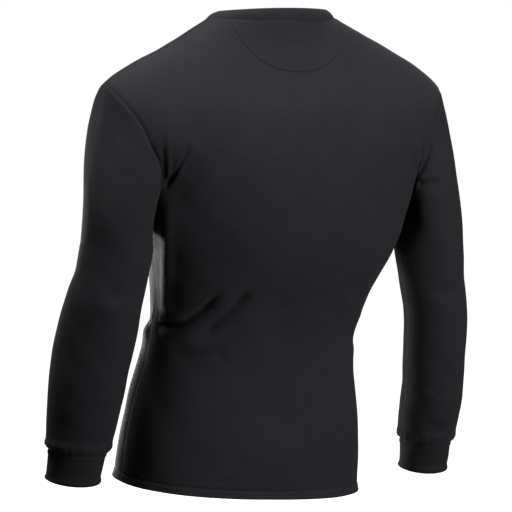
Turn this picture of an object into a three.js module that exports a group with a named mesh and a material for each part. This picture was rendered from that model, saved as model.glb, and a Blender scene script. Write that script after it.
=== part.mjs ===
// A long-sleeved base layer top with a round neck, in the hollow shape it has when it is worn.
//
// Millimetres. +Z is up, the front faces -Y and the wearer's left is at +X. The origin lies midway
// between the two high points of the shoulders, where the shoulder seams meet the neck.
//
// The body is a stack of rounded sections. The front and back panels are patches on that stack, cut
// off by the armholes, the shoulder line and the neckline. Each sleeve runs from the armhole's own
// curve to a row of elliptical sections down the arm. Every piece is a thin wall.

import * as THREE from "three";

// Cloth
const WALL = 1.5;
const SEAM_GAP = 0.5;
// The least sum of two ways out, squared, that a seam between them still follows
const SHARPEST_SEAM = 0.6;
const HEM_DEPTH = 13;
const HEM_PROUD = 0.8;

// Body lengths, measured down from the high points of the shoulders
const HEM_Z = -680;
const UNDERARM_Z = -275;
const SHOULDER_TIP_Z = -97;

// Neck
const NECK_HALF_WIDTH = 95;
const NECK_DROP_FRONT = 82;
const NECK_DROP_BACK = 2.5;
const COLLAR_HEIGHT = 16;
const COLLAR_GAP = 1;

// How the neck band leans as it rises: in from the sides, and in from the back and the front
const COLLAR_LEAN_SIDE = 0.75;
const COLLAR_LEAN_BACK = 0.2;
const COLLAR_LEAN_FRONT = 0.45;

// Armhole, an ellipse seen from the side
const ARMHOLE_Y = 20;
const ARMHOLE_HALF_DEPTH = 69;
const ARMHOLE_POINTEDNESS = 1.05;
const ARMHOLE_FULLNESS_LOW = 0.04;

// Half-moon facing inside the back of the neck
const FACING_HALF_WIDTH = 84;
const FACING_DROP = 76;
const FACING_SHIFT = -5;
const FACING_WALL = 1;
const FACING_GAP = 1.3;
const FACING_TOP_Z = -6;
const FACING_LEAST_DEPTH = 6;
const FACING_CLOSER_AT_ENDS = 1.3;
const FACING_END_SHARE = 0.985;
const FACING_COLUMNS = 12;
const FACING_ROWS = 5;

// Roundness of the body's sections: 2 is an ellipse, and more is squarer
const SQUARENESS = 2.3;

// The body's sections, from the neck down. width is half the section's width. side, back and front
// are where the side line, the middle of the back and the middle of the front lie along Y. shift
// moves the section towards the wearer's left, and lift is its slope up towards that side, because
// the top is worn with the weight on the left leg.
const BODY = [
  { z: 20, width: 68, side: -2, back: 44, front: -40, shift: 0, lift: -0.008 },
  { z: 0, width: 95, side: 0, back: 50, front: -45, shift: 0, lift: -0.012 },
  { z: -24, width: 137, side: 6, back: 57, front: -50, shift: 0, lift: -0.023 },
  { z: -40, width: 168, side: 10, back: 63, front: -54, shift: 0, lift: -0.018 },
  { z: -70, width: 225, side: 16, back: 77, front: -61, shift: 1, lift: -0.004 },
  { z: -97, width: 260.5, side: 20, back: 91, front: -71, shift: 1, lift: 0.004 },
  { z: -130, width: 281, side: 20, back: 107, front: -87, shift: 1, lift: 0.004 },
  { z: -172, width: 276, side: 20, back: 119, front: -103, shift: 2, lift: 0.004 },
  { z: -210, width: 242, side: 20, back: 126, front: -113, shift: 1, lift: 0.008 },
  { z: -243, width: 218, side: 20, back: 129, front: -117, shift: 0, lift: 0.012 },
  { z: -275, width: 204.5, side: 20, back: 129, front: -118, shift: -0.5, lift: 0.012 },
  { z: -309, width: 195.5, side: 17, back: 127, front: -116, shift: -1, lift: 0.014 },
  { z: -345, width: 181.5, side: 12, back: 121, front: -112, shift: 1.5, lift: 0.02 },
  { z: -410, width: 160.5, side: 2, back: 105, front: -108, shift: 13, lift: 0.03 },
  { z: -454, width: 157.5, side: -5, back: 98, front: -110, shift: 21.5, lift: 0.045 },
  { z: -500, width: 162, side: -10, back: 97, front: -116, shift: 24, lift: 0.06 },
  { z: -555, width: 172, side: -14, back: 101, front: -127, shift: 27, lift: 0.07 },
  { z: -613, width: 180, side: -18, back: 106, front: -137, shift: 30, lift: 0.076 },
  { z: -682, width: 184, side: -20, back: 106, front: -144, shift: 33, lift: 0.084 },
  { z: -699, width: 184, side: -20, back: 106, front: -144, shift: 33, lift: 0.084 },
];

// The sleeve's sections from the upper arm down to the cuff. wide and deep are the ellipse's half
// sizes, and turn is how far its wide way is turned from straight out towards the front, in degrees.
const ARM = [
  { z: -330, x: 248, y: 38, wide: 51, deep: 50, turn: 0 },
  { z: -375, x: 255, y: 35, wide: 50.5, deep: 47.5, turn: 20 },
  { z: -415, x: 265, y: 29, wide: 54, deep: 47, turn: 40 },
  { z: -460, x: 272, y: 20, wide: 57.5, deep: 46, turn: 45 },
  { z: -512, x: 277, y: 9, wide: 56, deep: 46, turn: 45 },
  { z: -550, x: 279.5, y: 0, wide: 54, deep: 46, turn: 45 },
  { z: -585, x: 280.5, y: -8, wide: 50.5, deep: 44.5, turn: 40 },
  { z: -609, x: 281.5, y: -14.5, wide: 47, deep: 43, turn: 35 },
  { z: -618, x: 281.7, y: -17, wide: 46.5, deep: 42.5, turn: 35 },
  { z: -623, x: 282, y: -18.3, wide: 43, deep: 39.5, turn: 35 },
];

// The left arm hangs a little higher than the right: the slope up towards the left
const ARM_LIFT = 0.042;

// How much of the arm's lean to the front its sections follow, and how far they lean out
const CUFF_LEVELLING = 0.4;
const RING_LEAN = 0.05;

// How the sleeve leaves the armhole: out at the top on the left and the right, out at the underarm,
// to the back and to the front, against its way down
const LEAVE_OUT_LEFT = 0.18;
const LEAVE_OUT_RIGHT = 0.26;
const LEAVE_OUT_UNDERARM = 0.35;
const LEAVE_BACK = 0.1;
const LEAVE_FRONT = 0.4;
const LEAVE_DOWN = 0.9;

// How much of the upper arm's way out the sleeve follows as it arrives there
const ARRIVE_OUT_LEFT = 0.2;
const ARRIVE_OUT_RIGHT = 1;

// The cuff's sections, narrower than the sleeve that is gathered into it.
const CUFF = [
  { z: -623.5, x: 282, y: -18.4, wide: 41.5, deep: 38, turn: 35 },
  { z: -644, x: 283.5, y: -24, wide: 40, deep: 37, turn: 35 },
  { z: -670, x: 285, y: -31.5, wide: 38.3, deep: 35.2, turn: 35 },
];

// The largest folds of the body: soft troughs along a line of three points on the cloth. x is
// across and z is up, on the back (face 1) or the front (face -1).
const BODY_FOLDS = [
  { face: 1, x: [180, 146, 96], z: [-438, -418, -366], depth: 7, reach: 18 },
  { face: -1, x: [182, 132, 90], z: [-436, -448, -436], depth: 5, reach: 20 },
];
const FOLD_STEPS = 16;

// Grid steps
const HALF_COLUMNS = 14;
const SHOULDER_COLUMNS = 8;
const LOWER_ROWS = 13;
const UPPER_ROWS = 11;
const SLEEVE_SIDES = 2 * UPPER_ROWS;
const HEAD_ROWS = 7;
const SLEEVE_HEIGHTS = [-352, -375, -395, -415, -437, -460, -486, -512, -532, -550, -585, -609, -618, -623];
const CUFF_HEIGHTS = [-633, -644, -657, -670];

// How far below the first ring of the arm the sleeve's way down is measured
const ARRIVE_STEP = 10;
// Halvings that find a height on the shoulder line
const HALVINGS = 40;

const CLOTH = new THREE.MeshStandardMaterial({ color: 0x1d1d20, roughness: 0.85, metalness: 0 });
const RIB = new THREE.MeshStandardMaterial({ color: 0x1b1b1e, roughness: 0.9, metalness: 0 });

const lerp = THREE.MathUtils.lerp;
const radians = THREE.MathUtils.degToRad;

// A value from a table's named column at height z, on a smooth curve through the rows.
function column(table, name, z) {
  const down = Math.sign(table[1].z - table[0].z);
  let i = 1;
  while (i < table.length - 1 && (z - table[i].z) * down > 0) i += 1;
  const slope = (k) => {
    const before = table[Math.max(k - 1, 0)];
    const after = table[Math.min(k + 1, table.length - 1)];
    return (after[name] - before[name]) / (after.z - before.z);
  };
  const low = table[i - 1];
  const high = table[i];
  const span = high.z - low.z;
  const t = (z - low.z) / span;
  const rise = t * t * (3 - 2 * t);
  return (
    low[name] * (1 - rise) +
    high[name] * rise +
    span * (slope(i - 1) * t * (1 - t) * (1 - t) - slope(i) * t * t * (1 - t))
  );
}

// How far a section still reaches along Y, as a share, at a share of its half width.
const reachAcross = (share) =>
  Math.pow(Math.max(0, 1 - Math.pow(Math.min(1, Math.abs(share)), SQUARENESS)), 1 / SQUARENESS);

// The body's cloth at a place x, z of the front view, on the back (face 1) or the front (face -1),
// before the stance bends it.
function bodyY(face, x, z) {
  const side = column(BODY, "side", z);
  const middle = column(BODY, face > 0 ? "back" : "front", z);
  return side + (middle - side) * reachAcross(x / column(BODY, "width", z));
}

// Bends an upright point as the wearer's stance does.
function stance(x, y, z) {
  const shift = column(BODY, "shift", z);
  const lift = column(BODY, "lift", z);
  return new THREE.Vector3(x + shift, y, z + lift * x);
}

// The armhole at an angle from the shoulder tip (0) over the back to the underarm (half a turn).
// The front half has negative angles.
function armhole(angle) {
  const middle = (SHOULDER_TIP_Z + UNDERARM_Z) / 2;
  const z = middle + (SHOULDER_TIP_Z - middle) * Math.cos(angle);
  const rounding = Math.abs(Math.sin(angle)) ** ARMHOLE_POINTEDNESS;
  const bulge = rounding * (1 - ARMHOLE_FULLNESS_LOW * Math.cos(angle));
  const y = ARMHOLE_Y + ARMHOLE_HALF_DEPTH * Math.sign(angle) * bulge;
  const side = column(BODY, "side", z);
  const face = y > side ? "back" : "front";
  const share = (y - side) / (column(BODY, face, z) - side);
  return { x: column(BODY, "width", z) * reachAcross(share), y, z };
}

// Where the shoulder line has the half width x.
function shoulderZ(x) {
  let low = SHOULDER_TIP_Z;
  let high = 0;
  for (let i = 0; i < HALVINGS; i++) {
    const z = (low + high) / 2;
    if (column(BODY, "width", z) > x) low = z;
    else high = z;
  }
  return (low + high) / 2;
}

// A point of the neck seam at an angle from the high shoulder point (0) to the middle (90 degrees).
function neckSeam(face, angle) {
  const drop = face > 0 ? NECK_DROP_BACK : NECK_DROP_FRONT;
  return { x: NECK_HALF_WIDTH * Math.cos(angle), z: -drop * Math.sin(angle) };
}

// The front view's place of a panel's grid point above the underarm. across runs from the armhole
// (0) to the middle (1) and up from the underarm (0) to the shoulder and neck (1).
function upperPlace(face, across, up) {
  const rise = 1 - (1 - up) * (1 - up);
  const hole = armhole(face * Math.PI * (1 - up));
  const tip = { x: column(BODY, "width", SHOULDER_TIP_Z), z: SHOULDER_TIP_Z };
  const start = { x: column(BODY, "width", UNDERARM_Z), z: UNDERARM_Z };
  const neck = neckSeam(face, Math.PI / 2);
  const bottomX = start.x * Math.pow(Math.cos((across * Math.PI) / 2), 2 / SQUARENESS);
  const shoulderShare = SHOULDER_COLUMNS / HALF_COLUMNS;
  let top;
  if (across < shoulderShare) {
    const x = lerp(tip.x, NECK_HALF_WIDTH, across / shoulderShare);
    top = { x, z: shoulderZ(x) };
  } else {
    const turn = (across - shoulderShare) / (1 - shoulderShare);
    top = neckSeam(face, (turn * Math.PI) / 2);
  }
  const blend = (atHole, atMiddle, atBottom, atTop, corners) =>
    (1 - across) * atHole +
    across * atMiddle +
    (1 - rise) * atBottom +
    rise * atTop -
    (1 - across) * ((1 - rise) * corners[0] + rise * corners[1]) -
    across * ((1 - rise) * corners[2] + rise * corners[3]);
  return {
    x: blend(hole.x, 0, bottomX, top.x, [start.x, tip.x, 0, 0]),
    z: blend(hole.z, lerp(UNDERARM_Z, neck.z, rise), UNDERARM_Z, top.z, [
      UNDERARM_Z,
      SHOULDER_TIP_Z,
      UNDERARM_Z,
      neck.z,
    ]),
  };
}

// A panel's grid of points on the cloth's outside, from the wearer's left side to the right side
// and from the hem up.
function panelGrid(face) {
  const heights = [HEM_Z, HEM_Z + HEM_DEPTH - 1, HEM_Z + HEM_DEPTH + 1];
  const rest = LOWER_ROWS - 2;
  for (let i = 1; i <= rest; i++) heights.push(lerp(HEM_Z + HEM_DEPTH + 1, UNDERARM_Z, i / rest));
  const columns = [];
  for (let i = -HALF_COLUMNS; i <= HALF_COLUMNS; i++) {
    const hand = i < 0 ? 1 : -1;
    const across = 1 - Math.abs(i) / HALF_COLUMNS;
    const points = heights.map((z) => {
      const x = column(BODY, "width", z) * Math.pow(Math.cos((across * Math.PI) / 2), 2 / SQUARENESS);
      const y = across === 0 ? column(BODY, "side", z) : bodyY(face, x, z);
      return stance(hand * x, y, z);
    });
    for (let j = 1; j <= UPPER_ROWS; j++) {
      const up = j / UPPER_ROWS;
      const place = upperPlace(face, across, up);
      const onShoulder = j === UPPER_ROWS && across <= SHOULDER_COLUMNS / HALF_COLUMNS;
      let y = bodyY(face, place.x, place.z);
      if (across === 0) y = armhole(face * Math.PI * (1 - up)).y;
      else if (onShoulder) y = column(BODY, "side", place.z);
      points.push(stance(hand * place.x, y, place.z));
    }
    columns.push(points);
  }
  return columns;
}

// The way out of the cloth at each point of a grid, from its neighbours.
function gridNormals(grid, isClosed, flip) {
  const last = grid.length - 1;
  return grid.map((line, i) =>
    line.map((_, j) => {
      const before = isClosed ? grid[(i + last) % (last + 1)] : grid[Math.max(i - 1, 0)];
      const after = isClosed ? grid[(i + 1) % (last + 1)] : grid[Math.min(i + 1, last)];
      const across = after[j].clone().sub(before[j]);
      const along = line[Math.min(j + 1, line.length - 1)].clone().sub(line[Math.max(j - 1, 0)]);
      return across.cross(along).multiplyScalar(flip).normalize();
    }),
  );
}

// A closed wall between an outer and an inner grid of points.
function wallGeometry(outer, inner, isClosed, flip) {
  const columns = outer.length;
  const rows = outer[0].length;
  const positions = [];
  for (const grid of [outer, inner])
    for (const line of grid) for (const p of line) positions.push(p.x, p.y, p.z);
  const at = (layer, i, j) => layer * columns * rows + (i % columns) * rows + j;
  const indices = [];
  const quad = (a, b, c, d) => {
    if (flip > 0) indices.push(a, b, c, a, c, d);
    else indices.push(c, b, a, d, c, a);
  };
  const steps = isClosed ? columns : columns - 1;
  for (let i = 0; i < steps; i++)
    for (let j = 0; j < rows - 1; j++) {
      quad(at(0, i, j), at(0, i + 1, j), at(0, i + 1, j + 1), at(0, i, j + 1));
      quad(at(1, i, j + 1), at(1, i + 1, j + 1), at(1, i + 1, j), at(1, i, j));
    }
  for (let i = 0; i < steps; i++) {
    quad(at(1, i, 0), at(1, i + 1, 0), at(0, i + 1, 0), at(0, i, 0));
    quad(at(0, i, rows - 1), at(0, i + 1, rows - 1), at(1, i + 1, rows - 1), at(1, i, rows - 1));
  }
  if (!isClosed)
    for (let j = 0; j < rows - 1; j++) {
      quad(at(0, 0, j), at(0, 0, j + 1), at(1, 0, j + 1), at(1, 0, j));
      quad(at(1, steps, j), at(1, steps, j + 1), at(0, steps, j + 1), at(0, steps, j));
    }
  const geometry = new THREE.BufferGeometry();
  geometry.setAttribute("position", new THREE.Float32BufferAttribute(positions, 3));
  geometry.setIndex(indices);
  geometry.computeVertexNormals();
  return geometry;
}

const inwards = (grid, normals, thickness) =>
  grid.map((line, i) => line.map((p, j) => p.clone().addScaledVector(normals[i][j], -thickness)));

// How deep the folds press the cloth in at a point.
function foldDepth(face, point) {
  let depth = 0;
  for (const fold of BODY_FOLDS) {
    if (fold.face !== face) continue;
    const curve = new THREE.QuadraticBezierCurve(
      new THREE.Vector2(fold.x[0], fold.z[0]),
      new THREE.Vector2(fold.x[1], fold.z[1]),
      new THREE.Vector2(fold.x[2], fold.z[2]),
    );
    const here = new THREE.Vector2(point.x, point.z);
    let nearest = Infinity;
    let share = 0;
    for (let k = 0; k <= FOLD_STEPS; k++) {
      const distance = curve.getPoint(k / FOLD_STEPS).distanceTo(here);
      if (distance < nearest) {
        nearest = distance;
        share = k / FOLD_STEPS;
      }
    }
    const fade = Math.sqrt(1 - share * share * share);
    depth += fold.depth * fade * Math.exp(-Math.pow(nearest / fold.reach, 2));
  }
  return depth;
}

// The step out of the cloth where two pieces meet in a seam, so that both keep their thickness.
function seamStep(normal, otherNormal) {
  const sum = normal.clone().add(otherNormal);
  return sum.multiplyScalar(2 / Math.max(sum.lengthSq(), SHARPEST_SEAM));
}

// The ways out of a panel, level across at the side and shoulder seams.
function panelNormals(face, grid) {
  const normals = gridNormals(grid, false, face);
  const lastRow = grid[0].length - 1;
  normals.forEach((line, i) => {
    line.forEach((normal, j) => {
      const onSide = Math.abs(i - HALF_COLUMNS) === HALF_COLUMNS && j <= LOWER_ROWS;
      const onShoulder = j === lastRow && Math.abs(i - HALF_COLUMNS) >= HALF_COLUMNS - SHOULDER_COLUMNS;
      if (onSide || onShoulder) normal.setY(0).normalize();
    });
  });
  return normals;
}

// The front or back panel.
function panel(face) {
  const grid = panelGrid(face);
  const normals = panelNormals(face, grid);
  for (const hand of [1, -1]) {
    const edge = hand > 0 ? 0 : 2 * HALF_COLUMNS;
    const sleeveNormals = gridNormals(sleeveGrid(hand), true, -hand);
    for (let k = 0; k <= UPPER_ROWS; k++) {
      const row = LOWER_ROWS + UPPER_ROWS - k;
      const side = face > 0 ? k : (SLEEVE_SIDES - k) % SLEEVE_SIDES;
      normals[edge][row] = seamStep(normals[edge][row], sleeveNormals[side][0]);
      grid[edge][row].x -= (hand * SEAM_GAP) / 2;
    }
  }
  grid.forEach((line, i) => {
    line.forEach((p, j) => {
      p.addScaledVector(normals[i][j], j < 2 ? HEM_PROUD : -foldDepth(face, p));
      p.y += (face * SEAM_GAP) / 2;
    });
  });
  return wallGeometry(grid, inwards(grid, normals, WALL), false, face);
}

// One ring of a sleeve or cuff, square to the arm. Its first point faces out and its second
// quarter faces back.
function armRing(table, z, hand) {
  const at = (name) => column(table, name, z);
  const slope = (name) => (column(table, name, z + 2) - column(table, name, z - 2)) / 4;
  const up = new THREE.Vector3(slope("x") + RING_LEAN, CUFF_LEVELLING * slope("y"), 1).normalize();
  const out = new THREE.Vector3(1, 0, 0).addScaledVector(up, -up.x).normalize();
  const back = up.clone().cross(out);
  const turn = radians(at("turn"));
  const wideWay = out.clone().multiplyScalar(Math.cos(turn)).addScaledVector(back, -Math.sin(turn));
  const deepWay = back.clone().multiplyScalar(Math.cos(turn)).addScaledVector(out, Math.sin(turn));
  const ring = [];
  for (let i = 0; i < SLEEVE_SIDES; i++) {
    const angle = (2 * Math.PI * i) / SLEEVE_SIDES;
    const p = new THREE.Vector3(at("x"), at("y"), z)
      .addScaledVector(wideWay, at("wide") * Math.cos(angle + turn))
      .addScaledVector(deepWay, at("deep") * Math.sin(angle + turn));
    p.x *= hand;
    p.z += ARM_LIFT * p.x;
    ring.push(p);
  }
  return ring;
}

// How the sleeve leaves the armhole at an angle round it.
function sleeveStart(angle, hand) {
  const top = (1 + Math.cos(angle)) / 2;
  const back = Math.sin(angle);
  const outAtTop = hand > 0 ? LEAVE_OUT_LEFT : LEAVE_OUT_RIGHT;
  const out = outAtTop * top + LEAVE_OUT_UNDERARM * (1 - top) * (1 - top);
  const along = (back > 0 ? LEAVE_BACK : LEAVE_FRONT) * back;
  return new THREE.Vector3(hand * out, along, -LEAVE_DOWN).normalize();
}

// A sleeve's lines of points, each from the armhole down to the cuff.
function sleeveGrid(hand) {
  const first = armRing(ARM, ARM[0].z, hand);
  const below = armRing(ARM, ARM[0].z - ARRIVE_STEP, hand);
  const grid = first.map((end, i) => {
    const angle = (2 * Math.PI * i) / SLEEVE_SIDES;
    const seam = armhole(angle > Math.PI ? angle - 2 * Math.PI : angle);
    const start = stance(hand * seam.x, seam.y, seam.z);
    const length = start.distanceTo(end);
    const leave = sleeveStart(angle, hand).multiplyScalar(length);
    const arrive = below[i].clone().sub(end).normalize().multiplyScalar(length);
    arrive.x *= hand > 0 ? ARRIVE_OUT_LEFT : ARRIVE_OUT_RIGHT;
    const line = [];
    for (let j = 0; j < HEAD_ROWS; j++) {
      const t = j / HEAD_ROWS;
      const rise = t * t * (3 - 2 * t);
      line.push(
        start
          .clone()
          .lerp(end, rise)
          .addScaledVector(leave, t * (1 - t) * (1 - t))
          .addScaledVector(arrive, -t * t * (1 - t)),
      );
    }
    line.push(end);
    return line;
  });
  for (const z of SLEEVE_HEIGHTS) armRing(ARM, z, hand).forEach((p, i) => grid[i].push(p));
  return grid;
}

function sleeve(hand) {
  const grid = sleeveGrid(hand);
  const normals = gridNormals(grid, true, -hand);
  const edge = hand > 0 ? 0 : 2 * HALF_COLUMNS;
  for (const face of [1, -1]) {
    const panelSide = panelNormals(face, panelGrid(face))[edge];
    for (let k = 0; k <= UPPER_ROWS; k++) {
      const side = face > 0 ? k : (SLEEVE_SIDES - k) % SLEEVE_SIDES;
      const isShared = k === 0 || k === UPPER_ROWS;
      if (face < 0 && isShared) continue;
      normals[side][0] = seamStep(panelSide[LOWER_ROWS + UPPER_ROWS - k], normals[side][0]);
      grid[side][0].x += (hand * SEAM_GAP) / 2;
    }
  }
  return wallGeometry(grid, inwards(grid, normals, WALL), true, -hand);
}

function cuff(hand) {
  const grid = armRing(CUFF, CUFF[0].z, hand).map((p) => [p]);
  for (const z of CUFF_HEIGHTS) armRing(CUFF, z, hand).forEach((p, i) => grid[i].push(p));
  const normals = gridNormals(grid, true, -hand);
  return wallGeometry(grid, inwards(grid, normals, WALL), true, -hand);
}

// The neck band, from the neck seam up and in round the neck.
function collar() {
  const grid = [];
  const steps = 4 * (HALF_COLUMNS - SHOULDER_COLUMNS);
  for (let i = 0; i < steps; i++) {
    const angle = (2 * Math.PI * i) / steps;
    const face = Math.sin(angle) >= 0 ? 1 : -1;
    const seam = neckSeam(face, Math.abs(Math.asin(Math.sin(angle))));
    const hand = Math.cos(angle) >= 0 ? 1 : -1;
    const y = bodyY(face, seam.x, seam.z);
    const base = stance(hand * seam.x, y, seam.z);
    const aside = Math.cos(angle);
    const along = Math.sin(angle);
    const lean = -along * (along > 0 ? COLLAR_LEAN_BACK : COLLAR_LEAN_FRONT);
    const rise = (1 + Math.abs(along)) / 2;
    const up = new THREE.Vector3(-COLLAR_LEAN_SIDE * aside, lean, rise).normalize();
    const line = [];
    for (const share of [0, 0.5, 1])
      line.push(base.clone().addScaledVector(up, COLLAR_GAP + share * COLLAR_HEIGHT));
    grid.push(line);
  }
  const normals = gridNormals(grid, true, 1);
  return wallGeometry(grid, inwards(grid, normals, WALL), true, 1);
}

// The half-moon facing, laid inside the back panel.
function facing() {
  const grid = [];
  for (let i = 0; i <= FACING_COLUMNS; i++) {
    const share = 1 - (2 * i) / FACING_COLUMNS;
    const edge = Math.sign(share) * (1 - Math.pow(1 - Math.abs(share), FACING_CLOSER_AT_ENDS));
    const x = FACING_HALF_WIDTH * edge + FACING_SHIFT;
    const depth = FACING_DROP * reachAcross(edge * FACING_END_SHARE);
    const bottom = Math.min(FACING_TOP_Z - FACING_LEAST_DEPTH, -depth);
    const line = [];
    for (let j = 0; j <= FACING_ROWS; j++) {
      const z = lerp(bottom, FACING_TOP_Z, j / FACING_ROWS);
      line.push(stance(x, bodyY(1, x, z) + SEAM_GAP / 2, z));
    }
    grid.push(line);
  }
  const normals = gridNormals(grid, false, 1);
  const outer = inwards(grid, normals, WALL + FACING_GAP);
  const inner = inwards(grid, normals, WALL + FACING_GAP + FACING_WALL);
  return wallGeometry(outer, inner, false, 1);
}

const top = new THREE.Group();

function add(name, geometry, material) {
  const mesh = new THREE.Mesh(geometry, material);
  mesh.name = name;
  top.add(mesh);
}

add("back", panel(1), CLOTH);
add("front", panel(-1), CLOTH);
add("left_sleeve", sleeve(1), CLOTH);
add("right_sleeve", sleeve(-1), CLOTH);
add("left_cuff", cuff(1), RIB);
add("right_cuff", cuff(-1), RIB);
add("collar", collar(), RIB);
add("back_neck_facing", facing(), CLOTH);

export default top;
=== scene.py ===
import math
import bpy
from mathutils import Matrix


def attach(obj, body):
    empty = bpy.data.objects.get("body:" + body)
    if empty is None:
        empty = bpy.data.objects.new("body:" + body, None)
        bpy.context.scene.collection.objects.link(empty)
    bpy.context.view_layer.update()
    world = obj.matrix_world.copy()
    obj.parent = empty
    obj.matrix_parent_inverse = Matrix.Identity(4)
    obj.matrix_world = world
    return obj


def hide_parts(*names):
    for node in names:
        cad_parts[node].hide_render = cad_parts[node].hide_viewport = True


bl_info = {
    "name": "Base layer top",
    "version": (1, 0, 0),
    "blender": (4, 5, 0),
    "location": "3D View > Sidebar > Top",
    "description": "A long-sleeved round-necked jersey top in the hollow shape it has when it is worn",
    "category": "Object",
}

import bpy
import numpy as np
from bpy.props import FloatProperty, FloatVectorProperty, PointerProperty
from mathutils import Matrix, Vector

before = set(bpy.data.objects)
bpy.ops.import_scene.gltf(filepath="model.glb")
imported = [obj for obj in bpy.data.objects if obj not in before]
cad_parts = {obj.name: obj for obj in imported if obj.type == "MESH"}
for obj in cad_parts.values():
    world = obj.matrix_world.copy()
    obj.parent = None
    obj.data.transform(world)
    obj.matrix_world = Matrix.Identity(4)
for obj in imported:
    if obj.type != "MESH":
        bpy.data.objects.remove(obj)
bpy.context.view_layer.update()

# Lengths in the tables and in the shaping below are millimetres. A mesh gets them times MM.
MM = 0.001

# The body's main heights, and how far the neck drops at the back (1) and at the front (-1)
HEM_Z = -680
UNDERARM_Z = -275
SHOULDER_TIP_Z = -97
NECK_HALF_WIDTH = 95
NECK_DROP = {1: 2.5, -1: 82}
# Where the armhole's middle lies along Y, half its depth, and how pointed and how full low down it is
ARMHOLE_Y = 20
ARMHOLE_HALF_DEPTH = 69
ARMHOLE_POINTEDNESS = 1.05
ARMHOLE_FULLNESS_LOW = 0.04
# How square the body's sections are: 2 would be an ellipse
SQUARENESS = 2.3
# How much higher the arms hang towards the wearer's left, and how the rings across them are tilted
ARM_LIFT = 0.042
CUFF_LEVELLING = 0.4
RING_LEAN = 0.05
# How far apart the back and the front lie along their seams
SEAM_GAP = 0.1
# How far from the armhole the cloth follows when the edges there are brought together
JOIN_REACH = 5.0
# How far the neck band reaches down inside the neck seam
BAND_TUCK = 3.0
# How far the cuff reaches up inside the sleeve's end
CUFF_TUCK = 3.2

# How the neck band leans as it rises: in from the sides, and in from the back and the front
COLLAR_LEAN_SIDE = 0.75
COLLAR_LEAN_BACK = 0.2
COLLAR_LEAN_FRONT = 0.45

# How the sleeve leaves the armhole: out at the top by hand, out at the underarm, to the back and to
# the front, against its way down
LEAVE_OUT = {1: 0.18, -1: 0.26}
LEAVE_OUT_UNDERARM = 0.35
LEAVE_BACK = 0.1
LEAVE_FRONT = 0.4
LEAVE_DOWN = 0.9
ARRIVE_STEP = 10
ARRIVE_OUT = {1: 0.2, -1: 1}

# The body's sections, from the hem up. width is half the section's width. side, back and front are
# where the side line, the middle of the back and the middle of the front lie along Y. shift moves
# the section towards the wearer's left, and lift is its slope up towards that side.
BODY_COLUMNS = ("z", "width", "side", "back", "front", "shift", "lift")
BODY_ROWS = (
    (-699, 184, -20, 106, -144, 33, 0.084),
    (-682, 184, -20, 106, -144, 33, 0.084),
    (-613, 180, -18, 106, -137, 30, 0.076),
    (-555, 172, -14, 101, -127, 27, 0.07),
    (-500, 162, -10, 97, -116, 24, 0.06),
    (-454, 157.5, -5, 98, -110, 21.5, 0.045),
    (-410, 160.5, 2, 105, -108, 13, 0.03),
    (-345, 181.5, 12, 121, -112, 1.5, 0.02),
    (-309, 195.5, 17, 127, -116, -1, 0.014),
    (-275, 204.5, 20, 129, -118, -0.5, 0.012),
    (-243, 218, 20, 129, -117, 0, 0.012),
    (-210, 242, 20, 126, -113, 1, 0.008),
    (-172, 276, 20, 119, -103, 2, 0.004),
    (-130, 281, 20, 107, -87, 1, 0.004),
    (-97, 260.5, 20, 91, -71, 1, 0.004),
    (-70, 225, 16, 77, -61, 1, -0.004),
    (-40, 168, 10, 63, -54, 0, -0.018),
    (-24, 137, 6, 57, -50, 0, -0.023),
    (0, 95, 0, 50, -45, 0, -0.012),
    (20, 68, -2, 44, -40, 0, -0.008),
)

# The sleeve's and the cuff's sections, from the wrist up. wide and deep are the ellipse's half
# sizes, and turn is how far its wide way is turned from straight out towards the front, in degrees.
ARM_COLUMNS = ("z", "x", "y", "wide", "deep", "turn")
SLEEVE_ROWS = (
    (-623, 282, -18.3, 43, 39.5, 35),
    (-618, 281.7, -17, 46.5, 42.5, 35),
    (-609, 281.5, -14.5, 47, 43, 35),
    (-585, 280.5, -8, 50.5, 44.5, 40),
    (-550, 279.5, 0, 54, 46, 45),
    (-512, 277, 9, 56, 46, 45),
    (-460, 272, 20, 57.5, 46, 45),
    (-415, 265, 29, 54, 47, 40),
    (-375, 255, 35, 50.5, 47.5, 20),
    (-330, 248, 38, 51, 50, 0),
)
CUFF_ROWS = (
    (-670, 285, -31.5, 38.3, 35.2, 35),
    (-644, 283.5, -24, 40, 37, 35),
    (-623.5, 282, -18.4, 41.5, 38, 35),
)

# Grid steps. A panel has twice HALF_COLUMNS across, and SHOULDER_COLUMNS of each half end on the
# shoulder line. Its rows lie HEM_STEP apart as far up as HEM_STEPPED, and BODY_STEP above that.
HALF_COLUMNS = 91
SHOULDER_COLUMNS = 52
BODY_STEP = 3.0
HEM_STEP = 1.3
HEM_STEPPED = 22
UPPER_ROWS = 77
SLEEVE_SIDES = 110
HEAD_ROWS = 60
SLEEVE_STEP = 2.8
CUFF_STEP = 1.6
COLLAR_SIDES = 180
COLLAR_STEP = 1.4
COLLAR_ARC_STEPS = 7
FACING_COLUMNS = 60
FACING_ROWS = 26
FOLD_ARC_STEPS = 5

# How many times as wide a fold's trough is on the side away from its ridge
GENTLE_SIDE = 2.2
# How many widths from their lines folds and seams still move the cloth
FOLD_REACH = 3
SEAM_REACH = 4
# How wide a ridge is against its distance from the trough
RIDGE_BREADTH = 0.8
# How long a fold keeps its depth where the cloth turns away from it
FACING_GAIN = 1.6
# How much a fold's depth varies along its line, and how quickly
DEPTH_SWING = 0.18
DEPTH_PACE = 9

# Each is a height and how far up the cloth it reaches: the groove along the hem's stitches, the
# doubled cloth below them, the flare of the hem's edge, and the flare of the cuff's edge
HEM_GROOVE = (0.9, 1.6)
HEM_DOUBLED = (0.5, 3)
HEM_FLARE = (1.6, 7)
CUFF_FLARE = (1.3, 5)
# The same of the ease higher up the cuff, and how high up that lies
CUFF_EASE = (0.5, 3, 40)
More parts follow.
